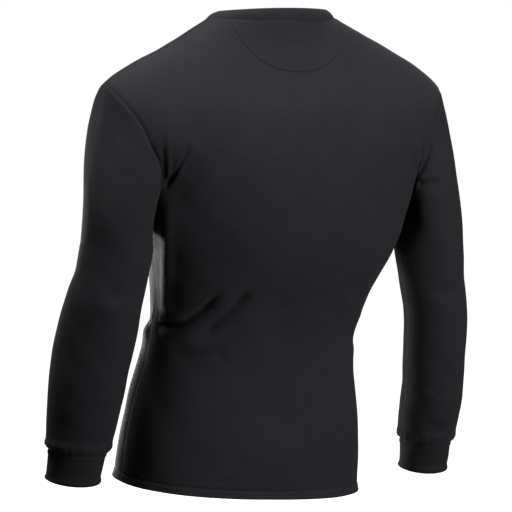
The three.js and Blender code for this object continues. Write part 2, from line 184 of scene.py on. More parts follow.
# Waves round the cuff: height, count, and how quickly they come and go up it
CUFF_WAVES = (0.45, 3, 9)
# Gathers above the cuff seam, as height, count and phase, which is the hand's sign where it is 0,
# and where they lie above the seam
GATHERS = ((0.5, 19, 0), (0.35, 31, 2))
GATHERS_ABOVE = 5
# The puff above them: its mean height, how much that varies round the wrist, and where it lies
PUFF = 1.2
PUFF_SWING = 0.8
PUFF_ABOVE = 8
GATHER_REACH = 6
# The row that tells how the cloth rises from the hem's edge
HEM_SLOPE_ROW = 10

# The neck band: its lift off the seam, its belly outside and as a share of that inside, and how
# far its lower edge is tucked in
BAND_LIFT = 1
BAND_BELLY = 1.1
BAND_BELLY_INSIDE = -0.4
BAND_TUCK_IN = 0.9

# How far the facing's edge lies inside its seam at the sides and the bottom, where its top lies, and
# its least height
FACING_SIDE = 3
FACING_BOTTOM = 2
FACING_TOP = -6
FACING_LEAST = 4

# How much the knit's streaks are drawn out along the rows, and the heights of the knit's and the
# thread's relief in metres
STREAK_SCALE = (34.0, 430.0, 1.0)
KNIT_RELIEF = 0.00012
THREAD_RELIEF = 0.0001

# The half-moon's seam is sunk into the back, and more towards its ends: how much more, and over
# which shares of its length. Its stitches run inside it.
SEAM_SUNK = 0.35
SEAM_SUNK_LEFT = 0.2
SEAM_SUNK_RIGHT = 0.35
LEFT_END = 0.15
RIGHT_END = (0.68, 0.88)
STITCHES_INSIDE = (0.965, 0.96)
STITCHES_PROUD = 0.1
HEM_STITCHES_PROUD = 0.15
# Half a stitch's length, as a share of the distance from stitch to stitch
STITCH_HALF = 0.39

# Soft folds. on is the piece that the line is drawn on and face its back (1) or front (-1) side.
# press is how deep the trough is, width its half width, rise the height of the ridge beside it, and
# beside how far off that ridge runs, positive to the left along the line. swell and fade are the
# shares of the line over which it comes and goes. The line is given as x, z seen from the back.
FOLD_COLUMNS = ("on", "face", "press", "width", "rise", "beside", "swell", "fade", "line")
FOLD_ROWS = (
    # Left side of the waist, where the back is pulled in
    ("back", 1, 2.6, 11, 1.4, 20, 0.12, 0.55,
     ((176, -438), (161, -430), (146, -416), (130, -401), (108, -375))),
    ("back", 1, 9.5, 3.6, 1.6, 8, 0.08, 0.4,
     ((176, -438), (161, -430), (146, -416), (130, -401), (108, -375))),
    ("back", 1, 4.0, 8.0, 1.0, 15, 0.3, 0.4, ((152, -458), (136, -441), (113, -418), (92, -398), (68, -375))),
    ("back", 1, 6.4, 4.4, 0.9, 9, 0.3, 0.25, ((138, -443), (122, -427), (105, -409), (90, -394), (71, -377))),
    ("back", 1, 0.9, 5, 0.4, 9, 0.3, 0.5, ((105, -448), (109, -466), (112, -484))),
    ("back", 1, 2.2, 12, 1.2, 18, 0.3, 0.5, ((170, -470), (150, -476), (122, -474), (92, -462))),
    # Left armpit
    ("back", 1, -2.2, 3.8, 0, 12, 0.4, 0.4, ((191, -148), (196, -180), (195, -213), (193, -236))),
    ("back", 1, 3.8, 3.4, 0, 8, 0.4, 0.25, ((199, -154), (201, -180), (198, -205), (195, -238))),
    ("back", 1, 3.0, 2.6, 0, 8, 0.3, 0.25, ((188, -192), (191, -212), (194, -238))),
    ("back", 1, 4.0, 3.2, 0, 8, 0.3, 0.25, ((163, -166), (177, -193), (185, -213), (195, -238))),
    ("back", 1, -1.8, 3.6, 0, 12, 0.2, 0.4, ((158, -164), (171, -190), (180, -209), (190, -230))),
    ("back", 1, 2.2, 13, 0, 18, 0.4, 0.3, ((144, -200), (160, -220), (176, -243), (188, -262))),
    # The edge between the back and the side, from the armpit to the waist
    ("back", 1, -5.0, 11, 0, 30, 0.12, 0.12,
     ((186, -254), (186, -272), (184, -294), (181, -316), (177, -338), (174, -360), (172, -382),
      (170, -422))),
    # Right armpit
    ("back", 1, 4.0, 3.2, 0, 8, 0.3, 0.2, ((-199, -172), (-201, -190), (-199, -208), (-190, -230))),
    ("back", 1, -1.8, 4, 0, 8, 0.3, 0.3, ((-190, -168), (-193, -190), (-191, -208), (-186, -226))),
    ("back", 1, 1.8, 10, 0, 14, 0.3, 0.2, ((-172, -184), (-180, -204), (-186, -224), (-192, -246))),
    ("right_sleeve", 1, 4.0, 3.2, 0, 8, 0.3, 0.2, ((-226, -168), (-217, -187), (-207, -209), (-198, -230))),
    ("right_sleeve", 1, 3.8, 3.2, 1.2, 8, 0.1, 0.4, ((-200, -236), (-212, -235), (-236, -231))),
    # Right side of the waist
    ("back", 1, 2.4, 9, 1.4, 13, 0.2, 0.5, ((-139, -420), (-122, -412), (-102, -398), (-80, -380))),
    ("back", 1, 1.8, 8, 1.0, -12, 0.3, 0.5, ((-92, -410), (-104, -432), (-112, -452))),
    ("back", 1, 2.0, 10, 1.2, 14, 0.2, 0.6, ((-132, -470), (-112, -462), (-88, -458), (-60, -460))),
    # Hollow of the lower back
    ("back", 1, 2.4, 26, 0, 30, 0.4, 0.4, ((22, -330), (24, -390), (28, -450), (28, -510))),
    ("back", 1, 1.6, 22, 0, 30, 0.4, 0.4, ((2, -110), (4, -170), (8, -240), (14, -310))),
    # Front of the waist and of the armpits
    ("front", -1, 5.0, 9, 2.4, 15, 0.12, 0.5, ((182, -430), (160, -440), (132, -444), (96, -436))),
    ("front", -1, 3.0, 11, 1.6, -16, 0.2, 0.5, ((168, -470), (140, -468), (104, -458), (70, -440))),
    ("front", -1, 3.6, 10, 1.8, -14, 0.1, 0.5, ((-140, -424), (-118, -430), (-88, -426), (-56, -410))),
    ("front", -1, 2.2, 10, 1.2, 15, 0.2, 0.6, ((-134, -462), (-108, -472), (-78, -472), (-44, -462))),
    ("front", -1, 3.2, 7, 1.6, 12, 0.3, 0.1, ((168, -160), (180, -186), (188, -212), (194, -240))),
    ("front", -1, 2.4, 9, 1.2, 14, 0.4, 0.2, ((138, -184), (158, -208), (174, -232), (188, -256))),
    ("front", -1, 3.2, 7, 1.6, -12, 0.3, 0.1, ((-166, -158), (-180, -186), (-188, -214), (-193, -242))),
    ("front", -1, 2.2, 9, 1.2, -14, 0.4, 0.2, ((-136, -188), (-158, -212), (-174, -236), (-188, -258))),
    ("front", -1, 1.6, 26, 0, 30, 0.4, 0.4, ((0, -210), (2, -260), (6, -330), (12, -390))),
    # Front of the sleeves, where they bend
    ("left_sleeve", -1, 3.4, 7, 1.8, 11, 0.3, 0.4, ((226, -318), (244, -330), (264, -328), (280, -318))),
    ("left_sleeve", -1, 3.0, 8, 1.6, 12, 0.3, 0.4, ((222, -352), (242, -362), (266, -360), (288, -346))),
    ("left_sleeve", -1, 2.4, 8, 1.2, -12, 0.3, 0.4, ((232, -386), (256, -394), (282, -388), (302, -374))),
    ("right_sleeve", -1, 3.4, 7, 1.8, -11, 0.3, 0.4,
     ((-224, -336), (-244, -350), (-264, -348), (-282, -338))),
    ("right_sleeve", -1, 3.0, 8, 1.6, 12, 0.3, 0.4, ((-222, -374), (-244, -384), (-268, -380), (-290, -366))),
    ("right_sleeve", -1, 2.4, 8, 1.2, 12, 0.3, 0.4, ((-234, -410), (-258, -416), (-284, -410), (-304, -396))),
    # Elbows and forearms from behind
    ("left_sleeve", 1, 1.6, 9, 0.9, 13, 0.4, 0.4, ((222, -372), (244, -382), (268, -384), (288, -376))),
    ("left_sleeve", 1, 1.4, 10, 0.8, -13, 0.4, 0.4, ((236, -520), (256, -538), (280, -545), (300, -538))),
    ("left_sleeve", 1, 1.8, 7, 1.0, 10, 0.4, 0.4, ((246, -586), (262, -594), (284, -594), (302, -586))),
    ("right_sleeve", 1, 1.6, 9, 0.9, 13, 0.4, 0.4, ((-290, -392), (-270, -400), (-246, -398), (-226, -388))),
    ("right_sleeve", 1, 1.4, 10, 0.8, 13, 0.4, 0.4, ((-300, -548), (-280, -556), (-258, -550), (-238, -534))),
    ("right_sleeve", 1, 1.8, 7, 1.0, -10, 0.4, 0.4, ((-302, -602), (-284, -608), (-262, -606), (-246, -598))),
)

# Sewn lines press a narrow valley into the cloth on both sides of them.
SEAM_COLUMNS = ("seam", "press", "width")
SEAM_ROWS = (
    ("armhole", 1.8, 2.1),
    ("side", 0.4, 2.6),
    ("shoulder", 0.9, 1.9),
    ("underarm", 1.1, 2.2),
    ("neck", 0.9, 2.6),
)

# The line of the half-moon facing on the back, as x, z.
HALF_MOON = ((79, -5), (78, -14), (72, -28), (62, -44), (49, -57), (34, -66), (17, -71.5), (-9, -74),
             (-26, -72.5), (-41, -69), (-58, -61), (-71, -50), (-81, -36), (-87, -20), (-89, -6))

# Broad slack of the cloth: height, wavelengths along X, Y and Z, and phase
SLACK_COLUMNS = ("height", "along_x", "along_y", "along_z", "phase")
SLACK_ROWS = (
    (0.7, 170, 210, 150, 0.4),
    (0.5, 96, 130, 118, 2.1),
    (0.25, 61, 70, 57, 4.0),
)


def as_columns(names, rows):
    """A table's rows as one array for each named column."""
    return {name: np.array([row[i] for row in rows], float) for i, name in enumerate(names)}


BODY = as_columns(BODY_COLUMNS, BODY_ROWS)
SLEEVE = as_columns(ARM_COLUMNS, SLEEVE_ROWS)
CUFF = as_columns(ARM_COLUMNS, CUFF_ROWS)


def column(table, name, z):
    """A table's named column at heights z, on a smooth curve through the rows."""
    heights, values = table["z"], table[name]
    slopes = np.empty_like(values)
    slopes[1:-1] = (values[2:] - values[:-2]) / (heights[2:] - heights[:-2])
    slopes[0] = (values[1] - values[0]) / (heights[1] - heights[0])
    slopes[-1] = (values[-1] - values[-2]) / (heights[-1] - heights[-2])
    z = np.asarray(z, float)
    i = np.clip(np.searchsorted(heights, z), 1, len(heights) - 1)
    span = heights[i] - heights[i - 1]
    t = (z - heights[i - 1]) / span
    rise = t * t * (3 - 2 * t)
    bend = slopes[i - 1] * t * (1 - t) ** 2 - slopes[i] * t * t * (1 - t)
    return values[i - 1] * (1 - rise) + values[i] * rise + span * bend


def reach_across(share):
    """How far a section still reaches along Y, as a share, at a share of its half width."""
    return (1 - np.minimum(np.abs(share), 1) ** SQUARENESS) ** (1 / SQUARENESS)


def body_y(face, x, z):
    """The body's cloth at x, z of the front view, before the stance bends it."""
    side = column(BODY, "side", z)
    middle = column(BODY, "back" if face > 0 else "front", z)
    return side + (middle - side) * reach_across(x / column(BODY, "width", z))


def stance(x, y, z):
    """Upright points bent as the wearer's stance does."""
    x, y, z = np.broadcast_arrays(x, y, z)
    return np.stack([x + column(BODY, "shift", z), y, z + column(BODY, "lift", z) * x], axis=-1)


def armhole(angle):
    """The armhole at angles from the shoulder tip (0) over the back to the underarm (half a turn)."""
    middle = (SHOULDER_TIP_Z + UNDERARM_Z) / 2
    z = middle + (SHOULDER_TIP_Z - middle) * np.cos(angle)
    rounding = np.abs(np.sin(angle)) ** ARMHOLE_POINTEDNESS
    bulge = rounding * (1 - ARMHOLE_FULLNESS_LOW * np.cos(angle))
    y = ARMHOLE_Y + ARMHOLE_HALF_DEPTH * np.sign(angle) * bulge
    side = column(BODY, "side", z)
    middle_y = np.where(y > side, column(BODY, "back", z), column(BODY, "front", z))
    x = column(BODY, "width", z) * reach_across((y - side) / (middle_y - side))
    return x, y, z


def shoulder_z(x):
    """Where the shoulder line has the half width x."""
    z = np.linspace(SHOULDER_TIP_Z, 0, 2000)
    return np.interp(x, column(BODY, "width", z)[::-1], z[::-1])


def neck_seam(face, angle):
    """x and z of the neck seam at angles from the high shoulder point (0) to the middle."""
    return NECK_HALF_WIDTH * np.cos(angle), -NECK_DROP[face] * np.sin(angle)


def upper_place(face, across, up):
    """x and z of a panel's points above the underarm, across from the armhole to the middle."""
    rise = 1 - (1 - up) ** 2
    hole_x, _, hole_z = armhole(face * np.pi * (1 - up))
    tip_x = column(BODY, "width", SHOULDER_TIP_Z)
    start_x = column(BODY, "width", UNDERARM_Z)
    neck_z = -NECK_DROP[face]
    bottom_x = start_x * np.cos(across * np.pi / 2) ** (2 / SQUARENESS)
    share = SHOULDER_COLUMNS / HALF_COLUMNS
    along = np.clip(across / share, 0, 1)
    shoulder_x = tip_x + (NECK_HALF_WIDTH - tip_x) * along
    turn = np.clip((across - share) / (1 - share), 0, 1)
    neck_x, neck_low = neck_seam(face, turn * np.pi / 2)
    on_shoulder = across < share
    top_x = np.where(on_shoulder, shoulder_x, neck_x)
    top_z = np.where(on_shoulder, shoulder_z(shoulder_x), neck_low)

    def blend(at_hole, at_middle, at_bottom, at_top, corners):
        sides = (1 - across) * at_hole + across * at_middle
        ends = (1 - rise) * at_bottom + rise * at_top
        hole_corner = (1 - rise) * corners[0] + rise * corners[1]
        middle_corner = (1 - rise) * corners[2] + rise * corners[3]
        return sides + ends - (1 - across) * hole_corner - across * middle_corner

    x = blend(hole_x, 0, bottom_x, top_x, (start_x, tip_x, 0, 0))
    middle_z = UNDERARM_Z + (neck_z - UNDERARM_Z) * rise
    z = blend(hole_z, middle_z, UNDERARM_Z, top_z, (UNDERARM_Z, SHOULDER_TIP_Z, UNDERARM_Z, neck_z))
    return x, z


def nearness(distance, reach):
    """1 at no distance, and fading to nothing beyond reach."""
    return np.exp(-((distance / reach) ** 2))


def normalised(vectors):
    """Vectors made one long."""
    return vectors / np.maximum(np.linalg.norm(vectors, axis=-1, keepdims=True), 1e-9)


def grid_normals(points, is_closed, flip):
    """The way out of the cloth at each point of a grid, from its neighbours."""
    if is_closed:
        across = np.roll(points, -1, axis=0) - np.roll(points, 1, axis=0)
    else:
        across = np.gradient(points, axis=0)
    along = np.gradient(points, axis=1)
    return normalised(flip * np.cross(across, along))


def level(normals, axis):
    """Normals with one axis taken out."""
    flat = normals.copy()
    flat[..., axis] = 0
    return normalised(flat)


class Sheet:
    """One piece of cloth as a grid of points on its outside, with the ways out of it.

    turned is how many of its first rows are the hem or band turned back inside."""

    def __init__(self, points, normals, is_closed):
        self.points = points
        self.normals = normals
        self.is_closed = is_closed
        self.shift = np.zeros(points.shape[:2])
        self.turned = 0

    def shaped(self):
        return self.points + self.normals * self.shift[..., None]


def panel_heights():
    """The heights of a panel's rows from the hem's fold to the underarm."""
    hem = np.arange(HEM_Z, HEM_Z + HEM_STEPPED, HEM_STEP)
    count = round((UNDERARM_Z - hem[-1]) / BODY_STEP)
    return np.concatenate([hem, np.linspace(hem[-1], UNDERARM_Z, count + 1)[1:]])


def panel_strip(face, hand, across, z):
    """Points of one half of a panel below the underarm."""
    x = column(BODY, "width", z) * np.cos(across * np.pi / 2) ** (2 / SQUARENESS)
    y = np.where(across == 0, column(BODY, "side", z), body_y(face, x, z))
    return stance(hand * x, y, z)


def panel_sheet(face, sleeves):
    """The front or back panel, from the wearer's left side to the right side and from the hem up."""
    across = 1 - np.abs(np.arange(-HALF_COLUMNS, HALF_COLUMNS + 1)) / HALF_COLUMNS
    across = across[:, None]
    hand = np.where(np.arange(-HALF_COLUMNS, HALF_COLUMNS + 1) < 0, 1, -1)[:, None]
    heights = panel_heights()[None, :]
    lower = panel_strip(face, hand, across, heights)
    up = np.arange(1, UPPER_ROWS + 1)[None, :] / UPPER_ROWS
    x, z = upper_place(face, across, up)
    y = body_y(face, x, z)
    y = np.where((across == 0) & (up <= 1), armhole(face * np.pi * (1 - up))[1], y)
    on_shoulder = (up == 1) & (across <= SHOULDER_COLUMNS / HALF_COLUMNS)
    y = np.where(on_shoulder, column(BODY, "side", z), y)
    upper = stance(hand * x, y, z)
    points = np.concatenate([lower, upper], axis=1)
    normals = grid_normals(points, False, face)
    rows_below = heights.size
    for edge in (0, -1):
        normals[edge, :rows_below] = level(normals[edge, :rows_below], 1)
    shoulder = np.abs(np.arange(-HALF_COLUMNS, HALF_COLUMNS + 1)) >= HALF_COLUMNS - SHOULDER_COLUMNS
    normals[shoulder, -1] = level(normals[shoulder, -1], 1)
    for edge, sleeve in ((0, sleeves[1]), (-1, sleeves[-1])):
        turn = np.pi * (1 - up[0])
        other = seam_normals(sleeve, face * turn)
        normals[edge, rows_below:] = normalised(normals[edge, rows_below:] + other)
    points[..., 1] += face * SEAM_GAP / 2
    return Sheet(points, normals, False)


def between(places, steps, values):
    """Vectors at places along steps, each between its two neighbours there."""
    return np.stack([np.interp(places, steps, values[:, k]) for k in range(3)], axis=-1)


def round_ring(ring, angles):
    """A sleeve's values round its first ring at given angles."""
    steps = 2 * np.pi * np.arange(-1, SLEEVE_SIDES + 1) / SLEEVE_SIDES
    ring = np.concatenate([ring[-1:], ring, ring[:1]])
    return between(np.mod(angles, 2 * np.pi), steps, ring)


def seam_normals(sleeve, angles):
    """A sleeve's ways out along the armhole at given angles."""
    return normalised(round_ring(sleeve.normals[:, 0], angles))


def pulled(points, edge, pull):
    """A grid moved by pull at its edge, and less and less away from it."""
    away = np.linalg.norm(points - edge, axis=-1, keepdims=True)
    return points + pull * nearness(away, JOIN_REACH)


def arm_rings(table, z, hand):
    """Rings of a sleeve or cuff, square to the arm, at heights z."""
    z = np.asarray(z, float)[None, :]
    step = 2.0

    def slope(name):
        return (column(table, name, z + step) - column(table, name, z - step)) / (2 * step)

    x, y = column(table, "x", z), column(table, "y", z)
    up = np.stack([slope("x") + RING_LEAN, CUFF_LEVELLING * slope("y"), np.ones_like(z)], axis=-1)
    up = normalised(up)
    out = normalised(np.array([1.0, 0, 0]) - up * up[..., :1])
    back = np.cross(up, out)
    turn = np.radians(column(table, "turn", z))[..., None]
    wide_way = out * np.cos(turn) - back * np.sin(turn)
    deep_way = back * np.cos(turn) + out * np.sin(turn)
    angle = (2 * np.pi * np.arange(SLEEVE_SIDES) / SLEEVE_SIDES)[:, None, None]
    wide = column(table, "wide", z)[..., None]
    deep = column(table, "deep", z)[..., None]
    centre = np.stack([x, y, z], axis=-1)
    points = centre + wide_way * wide * np.cos(angle + turn) + deep_way * deep * np.sin(angle + turn)
    points[..., 0] *= hand
    points[..., 2] += ARM_LIFT * points[..., 0]
    return points


def sleeve_start(angle, hand):
    """How the sleeve leaves the armhole at an angle round it."""
    top = (1 + np.cos(angle)) / 2
    back = np.sin(angle)
    out = LEAVE_OUT[hand] * top + LEAVE_OUT_UNDERARM * (1 - top) ** 2
    along = np.where(back > 0, LEAVE_BACK, LEAVE_FRONT) * back
    return normalised(np.stack([hand * out, along, np.full_like(top, -LEAVE_DOWN)], axis=-1))


def sleeve_sheet(hand):
    """A sleeve from the armhole down to the cuff."""
    top_z = SLEEVE_ROWS[-1][0]
    end_z = SLEEVE_ROWS[0][0]
    end = arm_rings(SLEEVE, [top_z], hand)[:, 0]
    below = arm_rings(SLEEVE, [top_z - ARRIVE_STEP], hand)[:, 0]
    angle = 2 * np.pi * np.arange(SLEEVE_SIDES) / SLEEVE_SIDES
    x, y, z = armhole(np.where(angle > np.pi, angle - 2 * np.pi, angle))
    start = stance(hand * x, y, z)
    length = np.linalg.norm(end - start, axis=-1, keepdims=True)
    leave = (sleeve_start(angle, hand) * length)[:, None]
    way_down = normalised(below - end)
    way_down[:, 0] *= ARRIVE_OUT[hand]
    arrive = (way_down * length)[:, None]
    t = (np.arange(HEAD_ROWS) / HEAD_ROWS)[None, :, None]
    rise = t * t * (3 - 2 * t)
    head = start[:, None] * (1 - rise) + end[:, None] * rise
    head = head + leave * t * (1 - t) ** 2 - arrive * t * t * (1 - t)
    heights = np.linspace(top_z, end_z, round((top_z - end_z) / SLEEVE_STEP) + 1)
    points = np.concatenate([head, arm_rings(SLEEVE, heights, hand)], axis=1)
    return Sheet(points, grid_normals(points, True, -hand), True)


def turn_in(sheet, place, length, radius):
    """Adds the rows of a fold turned back inside below a sheet's first row, as deep as length.

    place gives the outside points at distances up from the folded edge."""
    inside = np.arange(length, radius, -HEM_STEP)
    arc = np.linspace(np.pi, 0, FOLD_ARC_STEPS + 1)[:-1]
    heights = np.concatenate([inside, radius - radius * np.sin(arc)])
    depths = np.concatenate([np.full(inside.size, 2 * radius), radius - radius * np.cos(arc)])
    normals = np.repeat(sheet.normals[:, :1], heights.size, axis=1)
    points = place(heights) - normals * depths[None, :, None]
    sheet.points = np.concatenate([points, sheet.points], axis=1)
    sheet.normals = np.concatenate([normals, sheet.normals], axis=1)
    sheet.shift = np.zeros(sheet.points.shape[:2])
    sheet.turned = heights.size


def smooth_line(points, steps=6):
    """A smooth curve through points, each pair joined by a few steps."""
    points = np.asarray(points, float)
    padded = np.concatenate([2 * points[:1] - points[1:2], points, 2 * points[-1:] - points[-2:-1]])
    parts = []
    for a, b, c, d in zip(padded, padded[1:], padded[2:], padded[3:]):
        t = (np.arange(steps) / steps)[:, None]
        bend = (2 * a - 5 * b + 4 * c - d) * t**2 + (3 * b - a - 3 * c + d) * t**3
        parts.append(0.5 * (2 * b + (c - a) * t + bend))
    return np.concatenate(parts + [points[-1:]])


def drawn_on(sheet, face, line):
    """Points and ways out of a sheet under a line of x, z, on the side that faces face along Y."""
    points = sheet.points.reshape(-1, 3)
    normals = sheet.normals.reshape(-1, 3)
    keep = normals[:, 1] * face > 0
    points, normals = points[keep], normals[keep]
    chosen = [np.argmin((points[:, 0] - x) ** 2 + (points[:, 2] - z) ** 2) for x, z in line]
    return smooth_line(points[chosen]), normalised(smooth_line(normals[chosen]))


def beside_line(points, line, ways, reach):
    """Which points are within reach of a line.

    Gives with them their distances, signed by side, their shares of its length and its way out."""
    low, high = line.min(axis=0) - reach, line.max(axis=0) + reach
    near = np.flatnonzero(np.all((points > low) & (points < high), axis=1))
    here = points[near]
    best = np.full(near.size, np.inf)
    side = np.zeros(near.size)
    share = np.zeros(near.size)
    lean = np.zeros((near.size, 3))
    lengths = np.linalg.norm(np.diff(line, axis=0), axis=1)
    before = np.concatenate([[0], np.cumsum(lengths)])
    for k, length in enumerate(lengths):
        way = (line[k + 1] - line[k]) / max(length, 1e-9)
        along = np.clip((here - line[k]) @ way, 0, length)
        gap = here - line[k] - along[:, None] * way
        distance = np.linalg.norm(gap, axis=1)
        closer = distance < best
        best[closer] = distance[closer]
        side[closer] = np.sign(gap[closer] @ np.cross(ways[k], way))
        share[closer] = (before[k] + along[closer]) / before[-1]
        lean[closer] = ways[k]
    return near, best * np.where(side < 0, -1, 1), share, lean


def eased(t):
    """0 to 1 with a gentle start and end."""
    t = np.clip(t, 0, 1)
    return t * t * (3 - 2 * t)


def press_fold(sheet, fold, line, ways):
    """Presses one soft fold into a sheet where it runs near the line."""
    reach = FOLD_REACH * GENTLE_SIDE * fold["width"] + abs(fold["beside"])
    points = sheet.points.reshape(-1, 3)
    near, distance, share, lean = beside_line(points, line, ways, reach)
    if not near.size:
        return
    facing = np.clip(np.sum(sheet.normals.reshape(-1, 3)[near] * lean, axis=1) * FACING_GAIN, 0, 1)
    strength = eased(share / fold["swell"]) * eased((1 - share) / fold["fade"])
    strength = strength * (1 + DEPTH_SWING * np.sin(DEPTH_PACE * share + 0.1 * abs(fold["beside"])))
    # A trough is steep beside its ridge and gentle on its other side
    is_away = (distance * fold["beside"] < 0) & (fold["rise"] > 0)
    width = fold["width"] * np.where(is_away, GENTLE_SIDE, 1)
    ridge = nearness(distance - fold["beside"], RIDGE_BREADTH * abs(fold["beside"]) + 1)
    lift = fold["rise"] * ridge - fold["press"] * nearness(distance, width)
    shift = sheet.shift.reshape(-1)
    shift[near] += lift * strength * facing


def press_seam(sheet, line, press, width):
    """Presses a sewn line's narrow valley into a sheet."""
    points = sheet.points.reshape(-1, 3)
    ways = np.tile([0.0, 0, 1], (len(line), 1))
    near, distance, _, _ = beside_line(points, line, ways, SEAM_REACH * width)
    sheet.shift.reshape(-1)[near] -= press * nearness(distance, width)


def slacken(sheet):
    """Gives a sheet the broad unevenness of worn cloth."""
    x, y, z = (sheet.points[..., k] for k in range(3))
    turn = 2 * np.pi
    for row in SLACK_ROWS:
        slack = dict(zip(SLACK_COLUMNS, row))
        wave = np.sin(turn * x / slack["along_x"] + slack["phase"])
        wave = wave * np.sin(turn * z / slack["along_z"] + turn * y / slack["along_y"])
        sheet.shift += slack["height"] * wave


def neck_line(face):
    """The neck seam over one face, from the wearer's right to the left."""
    angle = np.linspace(0, np.pi, 60)
    x, z = neck_seam(face, angle)
    return stance(x, body_y(face, x, z), z)


def seam_lines():
    """The sewn lines as rows of points, by name."""
    lines = {name: [] for name, _, _ in SEAM_ROWS}
    z = panel_heights()
    turn = np.linspace(-np.pi, np.pi, 120)
    shoulder_x = np.linspace(NECK_HALF_WIDTH, column(BODY, "width", SHOULDER_TIP_Z), 40)
    tip = shoulder_z(shoulder_x)
    arm_z = np.linspace(SLEEVE_ROWS[-1][0], SLEEVE_ROWS[0][0], 60)
    for hand in (1, -1):
        x, y, hole_z = armhole(turn)
        lines["armhole"].append(stance(hand * x, y, hole_z))
        lines["side"].append(stance(hand * column(BODY, "width", z), column(BODY, "side", z), z))
        lines["shoulder"].append(stance(hand * shoulder_x, column(BODY, "side", tip), tip))
        lines["underarm"].append(arm_rings(SLEEVE, arm_z, hand)[SLEEVE_SIDES // 2])
    for face in (1, -1):
        lines["neck"].append(neck_line(face))
    return lines


class Shape:
    """All the sheets of the top, shaped once and then made into meshes one by one."""

    def __init__(self, cloth):
        self.cloth = cloth
        hem = cloth.hem_depth / MM
        sleeves = {hand: sleeve_sheet(hand) for hand in (1, -1)}
        self.sheets = {
            "back": panel_sheet(1, sleeves),
            "front": panel_sheet(-1, sleeves),
            "left_sleeve": sleeves[1],
            "right_sleeve": sleeves[-1],
        }
        self.crease()
        self.finish_hem(hem)
        self.finish_wrists()

    def crease(self):
        """Folds, seams and slack, all measured on the smooth form, and the armholes closed again."""
        for row in FOLD_ROWS:
            fold = dict(zip(FOLD_COLUMNS, row))
            line, ways = drawn_on(self.sheets[fold["on"]], fold["face"], fold["line"])
            for sheet in self.sheets.values():
                press_fold(sheet, fold, line, ways)
        lines = seam_lines()
        for name, press, width in SEAM_ROWS:
            for line in lines[name]:
                for sheet in self.sheets.values():
                    press_seam(sheet, line, press, width)
        for sheet in self.sheets.values():
            slacken(sheet)
        for hand, edge in ((1, 0), (-1, -1)):
            self.join_armhole(self.sheets[hand_name(hand) + "_sleeve"], edge)

    def join_armhole(self, sleeve, edge):
        """Brings a sleeve and the panels' edges together again, after the folds have moved them."""
        first = panel_heights().size - 1
        up = np.arange(UPPER_ROWS + 1) / UPPER_ROWS
        ring = sleeve.shaped()[:, 0]
        held = {}
        for name, face in (("front", -1), ("back", 1)):
            sheet = self.sheets[name]
            held[name] = sheet.shaped()[edge, first:]
            pull = (round_ring(ring, face * np.pi * (1 - up)) - held[name]) / 2
            sheet.points[:, first:] = pulled(sheet.points[:, first:], sheet.points[edge, first:], pull)
        # Round the armhole from the underarm over the front, the shoulder tip and the back
        steps = np.pi * np.concatenate([up - 1, 1 - up[-2::-1]])
        panels = np.concatenate([held["front"], held["back"][-2::-1]])
        angle = 2 * np.pi * np.arange(SLEEVE_SIDES) / SLEEVE_SIDES
        angle = np.where(angle > np.pi, angle - 2 * np.pi, angle)
        pull = (between(angle, steps, panels) - ring) / 2
        sleeve.points = pulled(sleeve.points, sleeve.points[:, :1], pull[:, None])

    def finish_hem(self, hem):
        """The hem's groove and flare, and the cloth turned up inside it."""
        radius = self.cloth.fold_radius / MM
        for name, face in (("back", 1), ("front", -1)):
            sheet = self.sheets[name]
            above = panel_heights() - HEM_Z
            rows = above.size
            groove = -HEM_GROOVE[0] * nearness(above - hem, HEM_GROOVE[1])
            doubled = HEM_DOUBLED[0] * eased((hem - above) / HEM_DOUBLED[1])
            flare = HEM_FLARE[0] * nearness(above, HEM_FLARE[1])
            sheet.shift[:, :rows] += groove + doubled + flare
            sheet.points = sheet.shaped()
            sheet.shift[:] = 0
            edge = sheet.points[:, :1]
            rise = sheet.points[:, HEM_SLOPE_ROW, None] - edge
            rise = rise / np.maximum(rise[..., 2:3], 1e-6)
            sheet.points[:, 0] += rise[:, 0] * radius
            turn_in(sheet, lambda up, edge=edge, rise=rise: edge + rise * up[None, :, None], hem, radius)

    def finish_wrists(self):
        """Small gathers where the sleeves are sewn into the cuffs."""
        for name, hand in (("left_sleeve", 1), ("right_sleeve", -1)):
            sheet = self.sheets[name]
            angle = 2 * np.pi * np.arange(SLEEVE_SIDES)[:, None] / SLEEVE_SIDES
            z = sheet.points[..., 2] - ARM_LIFT * sheet.points[..., 0]
            above = np.clip(z - SLEEVE_ROWS[0][0], 0, None)
            gather = sum(
                height * np.sin(count * angle + (phase or hand)) for height, count, phase in GATHERS
            )
            puff = PUFF + PUFF_SWING * np.sin(2 * angle + 0.7 * hand)
            sheet.shift += gather * nearness(above - GATHERS_ABOVE, GATHER_REACH)
            sheet.shift += puff * nearness(above - PUFF_ABOVE, GATHER_REACH)
            sheet.points = sheet.shaped()
            sheet.shift[:] = 0

    def cuff(self, hand):
        """A cuff, folded at its edge and lying double."""
        radius = self.cloth.fold_radius / MM
        edge_z = CUFF_ROWS[0][0]
        seam_z = CUFF_ROWS[-1][0]
        above = np.arange(radius, seam_z - edge_z + CUFF_TUCK, CUFF_STEP)
        points = arm_rings(CUFF, edge_z + above, hand)
        sheet = Sheet(points, grid_normals(points, True, hand), True)
        turn_in(sheet, lambda up: arm_rings(CUFF, edge_z + up, hand), seam_z - edge_z - 1, radius)
        angle = 2 * np.pi * np.arange(SLEEVE_SIDES)[:, None] / SLEEVE_SIDES
        above = np.clip(sheet.points[..., 2] - ARM_LIFT * sheet.points[..., 0] - edge_z, 0, None)
        sheet.shift += CUFF_FLARE[0] * nearness(above, CUFF_FLARE[1])
        sheet.shift += CUFF_EASE[0] * nearness(above - CUFF_EASE[2], CUFF_EASE[1])
        sheet.shift += CUFF_WAVES[0] * np.sin(CUFF_WAVES[1] * angle + hand) * np.sin(above / CUFF_WAVES[2])
        sheet.points = sheet.shaped()
        return sheet

